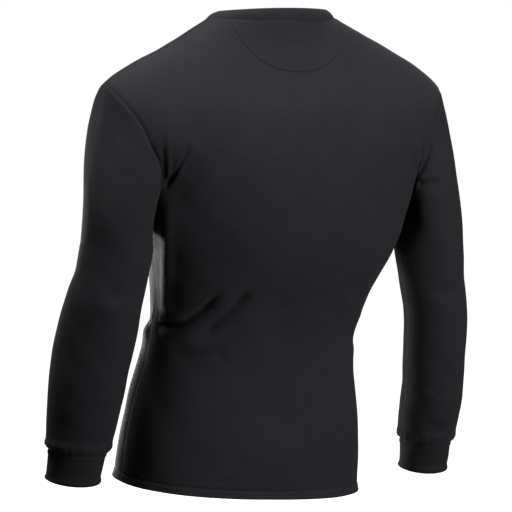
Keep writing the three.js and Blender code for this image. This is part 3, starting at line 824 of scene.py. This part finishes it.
    def collar(self):
        """The neck band, folded at its top edge and lying double."""
        height = self.cloth.collar_height / MM
        radius = self.cloth.fold_radius / MM
        angle = 2 * np.pi * np.arange(COLLAR_SIDES) / COLLAR_SIDES
        face = np.where(np.sin(angle) >= 0, 1, -1)
        hand = np.where(np.cos(angle) >= 0, 1, -1)
        turn = np.abs(np.arcsin(np.clip(np.sin(angle), -1, 1)))
        drop = np.where(face > 0, NECK_DROP[1], NECK_DROP[-1])
        x, z = NECK_HALF_WIDTH * np.cos(turn), -drop * np.sin(turn)
        y = np.where(face > 0, body_y(1, x, z), body_y(-1, x, z))
        base = stance(hand * x, y, z)
        aside, along = np.cos(angle), np.sin(angle)
        lean = -along * np.where(along > 0, COLLAR_LEAN_BACK, COLLAR_LEAN_FRONT)
        up = normalised(np.stack([-COLLAR_LEAN_SIDE * aside, lean, (1 + np.abs(along)) / 2], axis=-1))
        around = np.roll(base, -1, axis=0) - np.roll(base, 1, axis=0)
        out = normalised(np.cross(around, up))
        outer = np.arange(-BAND_TUCK, height - radius, COLLAR_STEP)
        arc = np.linspace(0, np.pi, COLLAR_ARC_STEPS + 1)
        heights = np.concatenate([outer, height - radius + radius * np.sin(arc), outer[::-1]])
        depths = np.concatenate([
            np.zeros(outer.size),
            radius - radius * np.cos(arc),
            np.full(outer.size, 2 * radius),
        ])
        belly = BAND_BELLY * np.sin(np.pi * np.clip(heights / height, 0, 1))
        belly = belly * np.where(depths > radius, BAND_BELLY_INSIDE, 1)
        belly = belly - BAND_TUCK_IN * np.clip(-heights / BAND_TUCK, 0, 1)
        points = base[:, None] + up[:, None] * (BAND_LIFT + heights)[None, :, None]
        points = points + out[:, None] * (belly - depths)[None, :, None]
        return Sheet(points, grid_normals(points, True, 1), True)

    def facing(self):
        """The half-moon facing, laid inside the back panel."""
        line = smooth_line(HALF_MOON, 4)
        share = np.linspace(0, 1, FACING_COLUMNS + 1)
        left, right = line[:, 0].max() - FACING_SIDE, line[:, 0].min() + FACING_SIDE
        x = left + (right - left) * (1 - np.cos(np.pi * share)) / 2
        lower = np.argsort(line[:, 0])
        bottom = np.interp(x, line[lower, 0], line[lower, 1]) + FACING_BOTTOM
        bottom = np.minimum(bottom, FACING_TOP - FACING_LEAST)
        rows = np.linspace(0, 1, FACING_ROWS + 1)[None, :]
        z = bottom[:, None] * (1 - rows) + FACING_TOP * rows
        x = np.repeat(x[:, None], rows.size, axis=1)
        points = stance(x, body_y(1, x, z), z)
        sheet = Sheet(points, grid_normals(points, False, 1), False)
        slacken(sheet)
        sheet.shift -= self.cloth.thickness / MM + self.cloth.facing_gap / MM
        sheet.points = sheet.shaped()
        return sheet


def deselect_all():
    """Leaves nothing selected."""
    for thing in bpy.context.selected_objects:
        thing.select_set(False)


def make_active(thing):
    """Selects one thing alone, for the operators that work on it."""
    deselect_all()
    thing.select_set(True)
    bpy.context.view_layer.objects.active = thing


def cloth_lengths(points, axis):
    """The distances run along a grid's lines, in metres, from their middles."""
    steps = np.linalg.norm(np.diff(points, axis=axis), axis=-1) * MM
    run = np.cumsum(steps, axis=axis)
    start = np.zeros_like(np.take(run, [0], axis=axis))
    run = np.concatenate([start, run], axis=axis)
    return run - np.take(run, [run.shape[axis] // 2], axis=axis)


def lay_sheet(name, sheet, flip=False):
    """Lays a plain grid over a sheet's points and gives it its lengths of cloth as UV."""
    points = sheet.shaped() if sheet.shift.any() else sheet.points
    if sheet.is_closed:
        points = np.concatenate([points, points[:1]])
    if flip:
        points = points[::-1]
    columns, rows = points.shape[:2]
    deselect_all()
    bpy.ops.mesh.primitive_grid_add(
        x_subdivisions=columns - 1, y_subdivisions=rows - 1, size=1, calc_uvs=True, location=(0, 0, 0)
    )
    piece = bpy.context.object
    piece.name = name
    piece.data.name = name
    mesh = piece.data
    place = np.empty(len(mesh.vertices) * 3)
    mesh.vertices.foreach_get("co", place)
    place = place.reshape(-1, 3)
    if len(place) != columns * rows:
        raise RuntimeError(f"{name}: the grid has {len(place)} points, not {columns * rows}")
    i = np.rint((place[:, 0] + 0.5) * (columns - 1)).astype(int)
    j = np.rint((place[:, 1] + 0.5) * (rows - 1)).astype(int)
    mesh.vertices.foreach_set("co", (points[i, j] * MM).ravel())
    u = cloth_lengths(points, 0)
    v = cloth_lengths(points, 1)
    corners = np.empty(len(mesh.loops), dtype=np.int64)
    mesh.loops.foreach_get("vertex_index", corners)
    uv = np.stack([u[i, j][corners], v[i, j][corners]], axis=-1)
    mesh.uv_layers[0].data.foreach_set("uv", uv.ravel())
    mesh.update()
    if sheet.is_closed:
        make_active(piece)
        bpy.ops.object.mode_set(mode="EDIT")
        bpy.ops.mesh.select_all(action="SELECT")
        bpy.ops.mesh.remove_doubles(threshold=1e-6)
        bpy.ops.object.mode_set(mode="OBJECT")
    return piece


def thicken(piece, thickness):
    """Gives the cloth its thickness, inwards."""
    make_active(piece)
    wall = piece.modifiers.new("Wall", "SOLIDIFY")
    wall.thickness = thickness
    wall.offset = -1
    wall.use_rim = True
    bpy.ops.object.modifier_apply(modifier=wall.name)
    bpy.ops.object.shade_smooth_by_angle(angle=math.radians(60))


def settle(piece, node, finish):
    """Rides on the body, stands for its node and takes its finish in its one material slot."""
    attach(piece, "root")
    if node:
        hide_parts(node)
    piece.data.materials.clear()
    piece.data.materials.append(finish)


def path_of(name, points, radius=0.0):
    """A curve object through points in millimetres, round and filled if it has a radius."""
    curve = bpy.data.curves.new(name, "CURVE")
    curve.dimensions = "3D"
    curve.bevel_depth = radius
    curve.bevel_resolution = 1
    curve.use_fill_caps = True
    spline = curve.splines.new("POLY")
    spline.points.add(len(points) - 1)
    spline.points.foreach_set("co", np.column_stack([points * MM, np.ones(len(points))]).ravel())
    path = bpy.data.objects.new(name, curve)
    bpy.context.scene.collection.objects.link(path)
    return path


def evenly(points, step):
    """Points at even steps along a line, and its length."""
    run = np.concatenate([[0], np.cumsum(np.linalg.norm(np.diff(points, axis=0), axis=1))])
    count = max(2, round(run[-1] / step))
    return between(np.linspace(0, run[-1], count + 1), run, points), run[-1]


def raised_seam(name, points, radius):
    """A seam that stands a little proud, as a soft round line half sunk in the cloth."""
    line, _ = evenly(points, 2.5)
    path = path_of(name, line, radius)
    make_active(path)
    bpy.ops.object.convert(target="MESH")
    seam = bpy.context.object
    seam.name = name
    bpy.ops.object.shade_smooth()
    return seam


def stitch_row(name, points, sewing):
    """One row of stitches along a line: a stitch made once, repeated and bent along the line."""
    line, length = evenly(points, 2.0)
    path = path_of(name + "_line", line)
    deselect_all()
    bpy.ops.mesh.primitive_uv_sphere_add(segments=6, ring_count=4, radius=1, location=(0, 0, 0))
    row = bpy.context.object
    row.name = name
    pitch = length * MM / round(length * MM / sewing.pitch)
    for point in row.data.vertices:
        x, y, z = point.co
        point.co = (z * pitch * STITCH_HALF + pitch / 2, x * sewing.thread, y * sewing.thread)
    repeat = row.modifiers.new("Repeat", "ARRAY")
    repeat.count = round(length * MM / pitch)
    repeat.use_relative_offset = False
    repeat.use_constant_offset = True
    repeat.constant_offset_displace = (pitch, 0, 0)
    follow = row.modifiers.new("Follow", "CURVE")
    follow.object = path
    follow.deform_axis = "POS_X"
    make_active(row)
    bpy.ops.object.modifier_apply(modifier=repeat.name)
    bpy.ops.object.modifier_apply(modifier=follow.name)
    bpy.ops.object.shade_smooth()
    bpy.data.objects.remove(path)
    return row


def joined(pieces, name):
    """Several rows as one piece."""
    deselect_all()
    for piece in pieces:
        piece.select_set(True)
    bpy.context.view_layer.objects.active = pieces[0]
    bpy.ops.object.join()
    piece = bpy.context.object
    piece.name = name
    piece.data.name = name
    return piece


class Wire:
    """A socket that takes part in shader maths."""

    def __init__(self, finish, socket):
        self.finish = finish
        self.socket = socket

    def __add__(self, other):
        return self.finish.math("ADD", self, other)

    def __radd__(self, other):
        return self.finish.math("ADD", other, self)

    def __sub__(self, other):
        return self.finish.math("SUBTRACT", self, other)

    def __rsub__(self, other):
        return self.finish.math("SUBTRACT", other, self)

    def __mul__(self, other):
        return self.finish.math("MULTIPLY", self, other)

    def __rmul__(self, other):
        return self.finish.math("MULTIPLY", other, self)

    def __truediv__(self, other):
        return self.finish.math("DIVIDE", self, other)


class Finish:
    """The node tree of one material."""

    def __init__(self, name):
        self.material = bpy.data.materials.new(name)
        self.material.use_nodes = True
        self.tree = self.material.node_tree
        self.tree.nodes.clear()

    def node(self, kind, settings, inputs):
        """A node of any kind: its settings are set first, then its sockets' values or links."""
        made = self.tree.nodes.new(kind)
        for name, value in settings.items():
            setattr(made, name, value)
        for name, value in inputs.items():
            if isinstance(value, Wire):
                self.tree.links.new(value.socket, made.inputs[name])
            else:
                made.inputs[name].default_value = value
        return made

    def wire(self, made, output=0):
        return Wire(self, made.outputs[output])

    def math(self, operation, a, b=0.0):
        return self.wire(self.node("ShaderNodeMath", {"operation": operation}, {0: a, 1: b}))

    def uneven(self, share, colour, by):
        """A colour that goes from darker to lighter by a share of itself."""
        dark = [c * (1 - by) for c in colour] + [1]
        light = [c * (1 + by) for c in colour] + [1]
        made = self.node("ShaderNodeMix", {"data_type": "RGBA"}, {0: share, 6: dark, 7: light})
        return self.wire(made, 2)

    def place(self, kind):
        return self.wire(self.node("ShaderNodeTexCoord", {}, {}), kind)

    def noise(self, place, scale, detail, roughness):
        inputs = {"Vector": place, "Scale": scale, "Detail": detail, "Roughness": roughness}
        return self.wire(self.node("ShaderNodeTexNoise", {}, inputs))

    def bump(self, height, strength, distance):
        inputs = {"Height": height, "Strength": strength, "Distance": distance}
        return self.wire(self.node("ShaderNodeBump", {}, inputs))

    def finished(self, inputs):
        """The material, with its surface made from the shader's inputs."""
        surface = self.wire(self.node("ShaderNodeBsdfPrincipled", {}, inputs))
        self.node("ShaderNodeOutputMaterial", {}, {"Surface": surface})
        return self.material


def knit_height(finish, u, v, cloth):
    """The relief of fine knitting: columns of slanted loops, at its real size."""
    turn = 2 * math.pi
    across = u / cloth.wale
    within = finish.math("PINGPONG", across, 0.5) * 2
    loops = finish.math("SINE", (v / cloth.course + within * 0.5) * turn)
    groove = finish.math("POWER", within, 3.0)
    return loops * 0.35 + groove * 0.65


def jersey_finish(name, colour, cloth, rib=0.0):
    """Fine dark knit, with a faint nap and slightly uneven dye. rib adds upright ribs."""
    finish = Finish(name)
    place = finish.place("UV")
    split = finish.node("ShaderNodeSeparateXYZ", {}, {"Vector": place})
    u, v = finish.wire(split, "X"), finish.wire(split, "Y")
    nap = finish.noise(place, 620.0, 3.0, 0.7)
    melange = finish.noise(place, 210.0, 3.0, 0.65)
    cloud = finish.noise(finish.place("Object"), 9.0, 2.0, 0.5)
    stretched = finish.node("ShaderNodeMapping", {}, {"Vector": place, "Scale": STREAK_SCALE})
    streak = finish.noise(finish.wire(stretched), 1.0, 2.0, 0.6)
    share = nap * 0.2 + melange * 0.26 + streak * 0.44 + cloud * 0.1
    spread = finish.wire(
        finish.node("ShaderNodeMapRange", {}, {"Value": share, "From Min": 0.4, "From Max": 0.6})
    )
    height = knit_height(finish, u, v, cloth) * 0.4 + nap * 0.6
    if rib:
        ribs = finish.math("SINE", u * (2 * math.pi / rib))
        height = height * 0.6 + ribs * 0.5
    return finish.finished({
        "Base Color": finish.uneven(spread, colour, cloth.unevenness),
        "Roughness": 0.86 + (spread - 0.5) * 0.08,
        "Normal": finish.bump(height, 0.35, KNIT_RELIEF),
        "Specular IOR Level": cloth.gloss,
        "Sheen Weight": cloth.sheen,
        "Sheen Roughness": 0.45,
        "Sheen Tint": (0.93, 0.96, 1.0, 1.0),
    })


def thread_finish(name, colour):
    """Twisted sewing thread, a little glossier than the cloth."""
    finish = Finish(name)
    twist = finish.noise(finish.place("Object"), 2600.0, 2.0, 0.6)
    return finish.finished({
        "Base Color": finish.uneven(twist, colour, 0.25),
        "Roughness": 0.6 + twist * 0.15,
        "Normal": finish.bump(twist, 0.4, THREAD_RELIEF),
        "Specular IOR Level": 0.35,
        "Sheen Weight": 0.1,
    })


def floor_finish(name, colour):
    """The plain pale floor, which glows evenly."""
    return Finish(name).finished({
        "Base Color": [*colour, 1],
        "Roughness": 0.9,
        "Emission Color": [1, 1, 1, 1],
        "Emission Strength": 1.0,
    })


def length_property(name, description, default, low, high):
    """A length that a user can set, in metres."""
    return FloatProperty(
        name=name, description=description, default=default, min=low, max=high, unit="LENGTH"
    )


def angle_property(name, description, degrees):
    """An angle that a user can set."""
    return FloatProperty(
        name=name, description=description, default=math.radians(degrees), subtype="ANGLE"
    )


def amount_property(name, description, default, high):
    """A plain amount that a user can set."""
    return FloatProperty(name=name, description=description, default=default, min=0, max=high)


def colour_property(name, description, default):
    """A colour that a user can set."""
    return FloatVectorProperty(
        name=name, description=description, default=default, subtype="COLOR", min=0, max=1
    )


class TopCloth(bpy.types.PropertyGroup):
    """Sizes of the cloth and of its folded edges, and how it takes the light."""

    thickness: length_property("Thickness", "Thickness of the jersey", 0.001, 0.0005, 0.002)
    fold_radius: length_property("Fold radius", "Roundness of a folded edge", 0.0012, 0.001, 0.002)
    hem_depth: length_property("Hem depth", "How deep the hem is turned up", 0.013, 0.008, 0.03)
    collar_height: length_property("Collar height", "Height of the neck band", 0.016, 0.01, 0.03)
    facing_gap: length_property("Facing gap", "Air between the back and its facing", 0.0004, 0, 0.002)
    wale: length_property("Wale", "Width of one column of knitting", 0.0011, 0.0004, 0.003)
    course: length_property("Course", "Height of one row of knitting", 0.0009, 0.0004, 0.003)
    rib: length_property("Rib", "Width of one rib of the bands", 0.0022, 0.001, 0.006)
    sheen: amount_property("Sheen", "Soft light on the nap", 0.05, 1)
    gloss: amount_property("Gloss", "Strength of the plain reflection", 0.25, 1)
    unevenness: amount_property("Unevenness", "How uneven the dye is", 0.21, 1)


class TopColours(bpy.types.PropertyGroup):
    """Colours of the cloth, thread and floor."""

    jersey: colour_property("Jersey", "Main cloth", (0.0187, 0.0182, 0.022))
    band: colour_property("Cuffs", "Rib of the cuffs", (0.0155, 0.0154, 0.0172))
    # The neck band's colour is a lighter copy of the rib: painted light, standing in for the top light that
    # the upward-leaning band catches
    neck: colour_property("Neck band", "Rib of the neck band", (0.025, 0.0245, 0.0285))
    thread: colour_property("Thread", "Sewing thread", (0.027, 0.0265, 0.03))
    floor: colour_property("Floor", "Floor and background", (0.9, 0.9, 0.9))


class TopSewing(bpy.types.PropertyGroup):
    """Sizes of the stitches and the raised seam."""

    pitch: length_property("Pitch", "Distance from stitch to stitch", 0.0034, 0.001, 0.01)
    thread: length_property("Thread radius", "Half the thread's thickness", 0.0003, 0.0001, 0.001)
    seam: length_property("Seam radius", "Half the raised seam's width", 0.0011, 0.0003, 0.003)


class TopStage(bpy.types.PropertyGroup):
    """Camera, lights and floor."""

    azimuth: angle_property("Azimuth", "Where the camera stands", 155)
    elevation: angle_property("Elevation", "How far the camera looks down", 6.858)
    roll: angle_property("Roll", "Tilt of the camera", 1)
    distance: length_property("Distance", "From the camera to the top", 3.2, 0.5, 20)
    lens: FloatProperty(
        name="Lens", description="Focal length in millimetres", default=155.65, min=20, max=300
    )
    floor_z: length_property("Floor height", "Where the floor lies", -1.42, -10, 0)
    key: amount_property("Key light", "Power of the light from the camera's side", 81, 1000)
    top: amount_property("Top light", "Power of the light from above", 78, 1000)
    strip: amount_property("Strip light", "Power of the slim light beside the waist", 4.5, 1000)
    armpit: amount_property("Armpit light", "Power of the small light under the arm", 0.2, 1000)
    front: amount_property("Front light", "Power of the light on the chest", 30, 1000)
    sky: amount_property("Sky", "Strength of the even light all round", 0.05, 10)


# The middle of the picture
TARGET = Vector((0.017268, 0, -0.343717))

shape_cache = {}


def shape():
    """The shaped sheets, worked out once."""
    if "top" not in shape_cache:
        shape_cache["top"] = Shape(bpy.context.scene.top_cloth)
    return shape_cache["top"]


def finish_of(name):
    """A material of the top, made when it is first asked for."""
    made = bpy.data.materials.get(name)
    if made:
        return made
    cloth = bpy.context.scene.top_cloth
    colours = bpy.context.scene.top_colours
    knits = {
        "jersey_knit": (colours.jersey, 0.0),
        "band_knit": (colours.band, cloth.rib),
        # The neck band's knit is the cuffs' rib in a lighter colour, with painted light from above
        "neck_knit_painted_light": (colours.neck, cloth.rib),
    }
    if name in knits:
        paint, rib = knits[name]
        return jersey_finish(name, paint, cloth, rib)
    if name == "dark_thread":
        return thread_finish(name, colours.thread)
    if name == "pale_floor":
        return floor_finish(name, colours.floor)
    raise RuntimeError(f"no finish named {name}")


def hand_name(hand):
    """The side's name for 1, the wearer's left, or -1."""
    return "left" if hand > 0 else "right"


class TOP_OT_panels(bpy.types.Operator):
    """Lay the back and front panels with their turned hems"""

    bl_idname = "top.panels"
    bl_label = "Back and front"

    def execute(self, context):
        cloth = context.scene.top_cloth
        for node, flip in (("back", False), ("front", True)):
            piece = lay_sheet(node + "_panel", shape().sheets[node], flip)
            thicken(piece, cloth.thickness)
            settle(piece, node, finish_of("jersey_knit"))
        return {"FINISHED"}


class TOP_OT_sleeves(bpy.types.Operator):
    """Lay both sleeves from the armholes down to the cuffs"""

    bl_idname = "top.sleeves"
    bl_label = "Sleeves"

    def execute(self, context):
        for hand in (1, -1):
            side = hand_name(hand)
            piece = lay_sheet(side + "_sleeve_tube", shape().sheets[side + "_sleeve"], hand > 0)
            thicken(piece, context.scene.top_cloth.thickness)
            settle(piece, side + "_sleeve", finish_of("jersey_knit"))
        return {"FINISHED"}


class TOP_OT_cuffs(bpy.types.Operator):
    """Lay both cuffs, each a band folded double"""

    bl_idname = "top.cuffs"
    bl_label = "Cuffs"

    def execute(self, context):
        for hand in (1, -1):
            side = hand_name(hand)
            piece = lay_sheet(side + "_cuff_band", shape().cuff(hand), hand < 0)
            thicken(piece, context.scene.top_cloth.thickness)
            settle(piece, side + "_cuff", finish_of("band_knit"))
        return {"FINISHED"}


class TOP_OT_collar(bpy.types.Operator):
    """Lay the neck band, folded double, and the half-moon facing inside the back"""

    bl_idname = "top.collar"
    bl_label = "Neck band and facing"

    def execute(self, context):
        cloth = context.scene.top_cloth
        band = lay_sheet("neck_band", shape().collar())
        thicken(band, cloth.thickness)
        # The neck band takes the lighter knit, with its painted light
        settle(band, "collar", finish_of("neck_knit_painted_light"))
        facing = lay_sheet("half_moon_facing", shape().facing())
        thicken(facing, cloth.thickness)
        settle(facing, "back_neck_facing", finish_of("jersey_knit"))
        return {"FINISHED"}


def on_back(line, proud):
    """Points on the outside of the finished back panel under a line of x, z, each a little proud of it."""
    back = bpy.data.objects["back_panel"]
    found = []
    for (x, z), height in zip(line, np.broadcast_to(proud, len(line))):
        hit, place, way, _ = back.ray_cast(Vector((x * MM, 0.4, z * MM)), Vector((0, -1, 0)))
        if not hit:
            continue
        found.append(np.array(place) / MM + np.array(way) * height)
    return np.array(found)


class TOP_OT_sewing(bpy.types.Operator):
    """Sew the half-moon and the hem: a raised seam and rows of stitches"""

    bl_idname = "top.sewing"
    bl_label = "Seams and stitches"

    def execute(self, context):
        sewing = context.scene.top_sewing
        moon = smooth_line(HALF_MOON, 6)
        share = np.linspace(0, 1, len(moon))
        at_left = 1 - eased(share / LEFT_END)
        at_right = eased((share - RIGHT_END[0]) / (RIGHT_END[1] - RIGHT_END[0]))
        sunk = SEAM_SUNK + SEAM_SUNK_LEFT * at_left + SEAM_SUNK_RIGHT * at_right
        ridge = raised_seam("half_moon_seam", on_back(moon, -sunk), sewing.seam)
        settle(ridge, None, finish_of("jersey_knit"))
        inner = moon * np.array(STITCHES_INSIDE)
        stitches = stitch_row("half_moon_stitches", on_back(inner, STITCHES_PROUD), sewing)
        settle(stitches, None, finish_of("dark_thread"))
        rows = []
        for node in ("back", "front"):
            sheet = shape().sheets[node]
            above = panel_heights() - HEM_Z
            row = sheet.turned + int(np.argmin(np.abs(above - context.scene.top_cloth.hem_depth / MM)))
            line = sheet.points[:, row] + sheet.normals[:, row] * HEM_STITCHES_PROUD
            rows.append(stitch_row(node + "_hem", line, sewing))
        hem = joined(rows, "hem_stitches")
        settle(hem, None, finish_of("dark_thread"))
        return {"FINISHED"}


def way_to(target, place):
    """The rotation that turns a light at place towards target."""
    return (target - place).to_track_quat("-Z", "Y").to_euler()


class TOP_OT_stage(bpy.types.Operator):
    """Set the floor, the camera and the soft studio lights"""

    bl_idname = "top.stage"
    bl_label = "Stage"

    def execute(self, context):
        stage = context.scene.top_stage
        self.floor(stage)
        axes = self.camera(context, stage)
        self.lights(context, stage, axes)
        return {"FINISHED"}

    def floor(self, stage):
        deselect_all()
        bpy.ops.mesh.primitive_circle_add(
            vertices=96, radius=14, fill_type="NGON", location=(0, 0, stage.floor_z)
        )
        floor = bpy.context.object
        floor.name = "floor"
        bpy.ops.object.mode_set(mode="EDIT")
        bpy.ops.mesh.select_all(action="SELECT")
        bpy.ops.mesh.inset(thickness=0.2)
        bpy.ops.object.mode_set(mode="OBJECT")
        make_active(floor)
        bpy.ops.object.transform_apply(location=True, rotation=False, scale=False)
        floor.data.materials.append(finish_of("pale_floor"))
        floor.visible_diffuse = False
        floor.visible_glossy = False

    def camera(self, context, stage):
        azimuth, elevation = stage.azimuth, stage.elevation
        back = Vector((
            math.sin(azimuth) * math.cos(elevation),
            -math.cos(azimuth) * math.cos(elevation),
            math.sin(elevation),
        ))
        level_right = Vector((math.cos(azimuth), math.sin(azimuth), 0))
        level_up = back.cross(level_right)
        right = level_right * math.cos(stage.roll) + level_up * math.sin(stage.roll)
        up = level_up * math.cos(stage.roll) - level_right * math.sin(stage.roll)
        lens = bpy.data.cameras.new("camera")
        lens.lens = stage.lens
        lens.sensor_width = 36
        lens.clip_end = 60
        camera = bpy.data.objects.new("camera", lens)
        camera.matrix_world = Matrix.Translation(TARGET + back * stage.distance) @ Matrix(
            (right, up, back)
        ).transposed().to_4x4()
        context.scene.collection.objects.link(camera)
        context.scene.camera = camera
        return right, up, back

    def lights(self, context, stage, axes):
        right, up, back = axes
        # Name, power, width, height and spread in degrees, and the place and the aim as right, up
        # and back from the target
        lamps = (
            ("key", stage.key, 1.2, 1.2, 180, (2.5, 0.7, 2.2), (0, 0, 0)),
            ("top", stage.top, 1.4, 1.2, 180, (-0.8, 2.5, 0.5), (0, 0, 0)),
            ("strip", stage.strip, 0.15, 0.7, 180, (-0.40, -0.24, -0.50), (-0.17, -0.2, 0.05)),
            ("armpit", stage.armpit, 0.14, 0.14, 9, (-1.1, -0.75, -1.0), (-0.14, 0.06, 0.12)),
            ("front", stage.front, 1.8, 1.8, 180, (0.5, 1.2, -3.0), (0, 0, 0)),
        )

        def spot(place):
            return TARGET + right * place[0] + up * place[1] + back * place[2]

        for name, power, width, height, spread, place, aim in lamps:
            lamp = bpy.data.lights.new(name, "AREA")
            lamp.shape = "RECTANGLE"
            lamp.size = width
            lamp.size_y = height
            lamp.energy = power
            lamp.spread = math.radians(spread)
            light = bpy.data.objects.new(name, lamp)
            light.location = spot(place)
            light.rotation_euler = way_to(spot(aim), light.location)
            light.visible_camera = False
            context.scene.collection.objects.link(light)
        world = bpy.data.worlds.new("studio")
        world.use_nodes = True
        nodes, links = world.node_tree.nodes, world.node_tree.links
        nodes.clear()
        seen = nodes.new("ShaderNodeLightPath")
        strength = nodes.new("ShaderNodeMath")
        strength.operation = "MAXIMUM"
        strength.inputs[1].default_value = stage.sky
        sky = nodes.new("ShaderNodeBackground")
        sky.inputs["Color"].default_value = (1, 1, 1, 1)
        output = nodes.new("ShaderNodeOutputWorld")
        links.new(seen.outputs["Is Camera Ray"], strength.inputs[0])
        links.new(strength.outputs[0], sky.inputs["Strength"])
        links.new(sky.outputs[0], output.inputs["Surface"])
        context.scene.world = world
        context.scene.view_settings.view_transform = "Standard"
        context.scene.view_settings.look = "None"


class TOP_PT_sidebar(bpy.types.Panel):
    """The pieces of the top, one button each"""

    bl_idname = "TOP_PT_sidebar"
    bl_label = "Base layer top"
    bl_space_type = "VIEW_3D"
    bl_region_type = "UI"
    bl_category = "Top"

    def draw(self, context):
        layout = self.layout
        for group in ("top_cloth", "top_colours", "top_sewing", "top_stage"):
            settings = getattr(context.scene, group)
            box = layout.box()
            for name in settings.bl_rna.properties.keys():
                if name not in ("rna_type", "name"):
                    box.prop(settings, name)
        for operator in OPERATORS:
            layout.operator(operator.bl_idname)


OPERATORS = (
    TOP_OT_panels,
    TOP_OT_sleeves,
    TOP_OT_cuffs,
    TOP_OT_collar,
    TOP_OT_sewing,
    TOP_OT_stage,
)
GROUPS = {
    "top_cloth": TopCloth,
    "top_colours": TopColours,
    "top_sewing": TopSewing,
    "top_stage": TopStage,
}


def register():
    for group in GROUPS.values():
        bpy.utils.register_class(group)
    for operator in OPERATORS:
        bpy.utils.register_class(operator)
    bpy.utils.register_class(TOP_PT_sidebar)
    for name, group in GROUPS.items():
        setattr(bpy.types.Scene, name, PointerProperty(type=group))


def unregister():
    for name in GROUPS:
        delattr(bpy.types.Scene, name)
    bpy.utils.unregister_class(TOP_PT_sidebar)
    for operator in reversed(OPERATORS):
        bpy.utils.unregister_class(operator)
    for group in reversed(GROUPS.values()):
        bpy.utils.unregister_class(group)


def main():
    register()
    bpy.ops.top.panels()
    bpy.ops.top.sleeves()
    bpy.ops.top.cuffs()
    bpy.ops.top.collar()
    bpy.ops.top.sewing()
    bpy.ops.top.stage()
    bpy.context.view_layer.update()


if __name__ == "__main__":
    main()
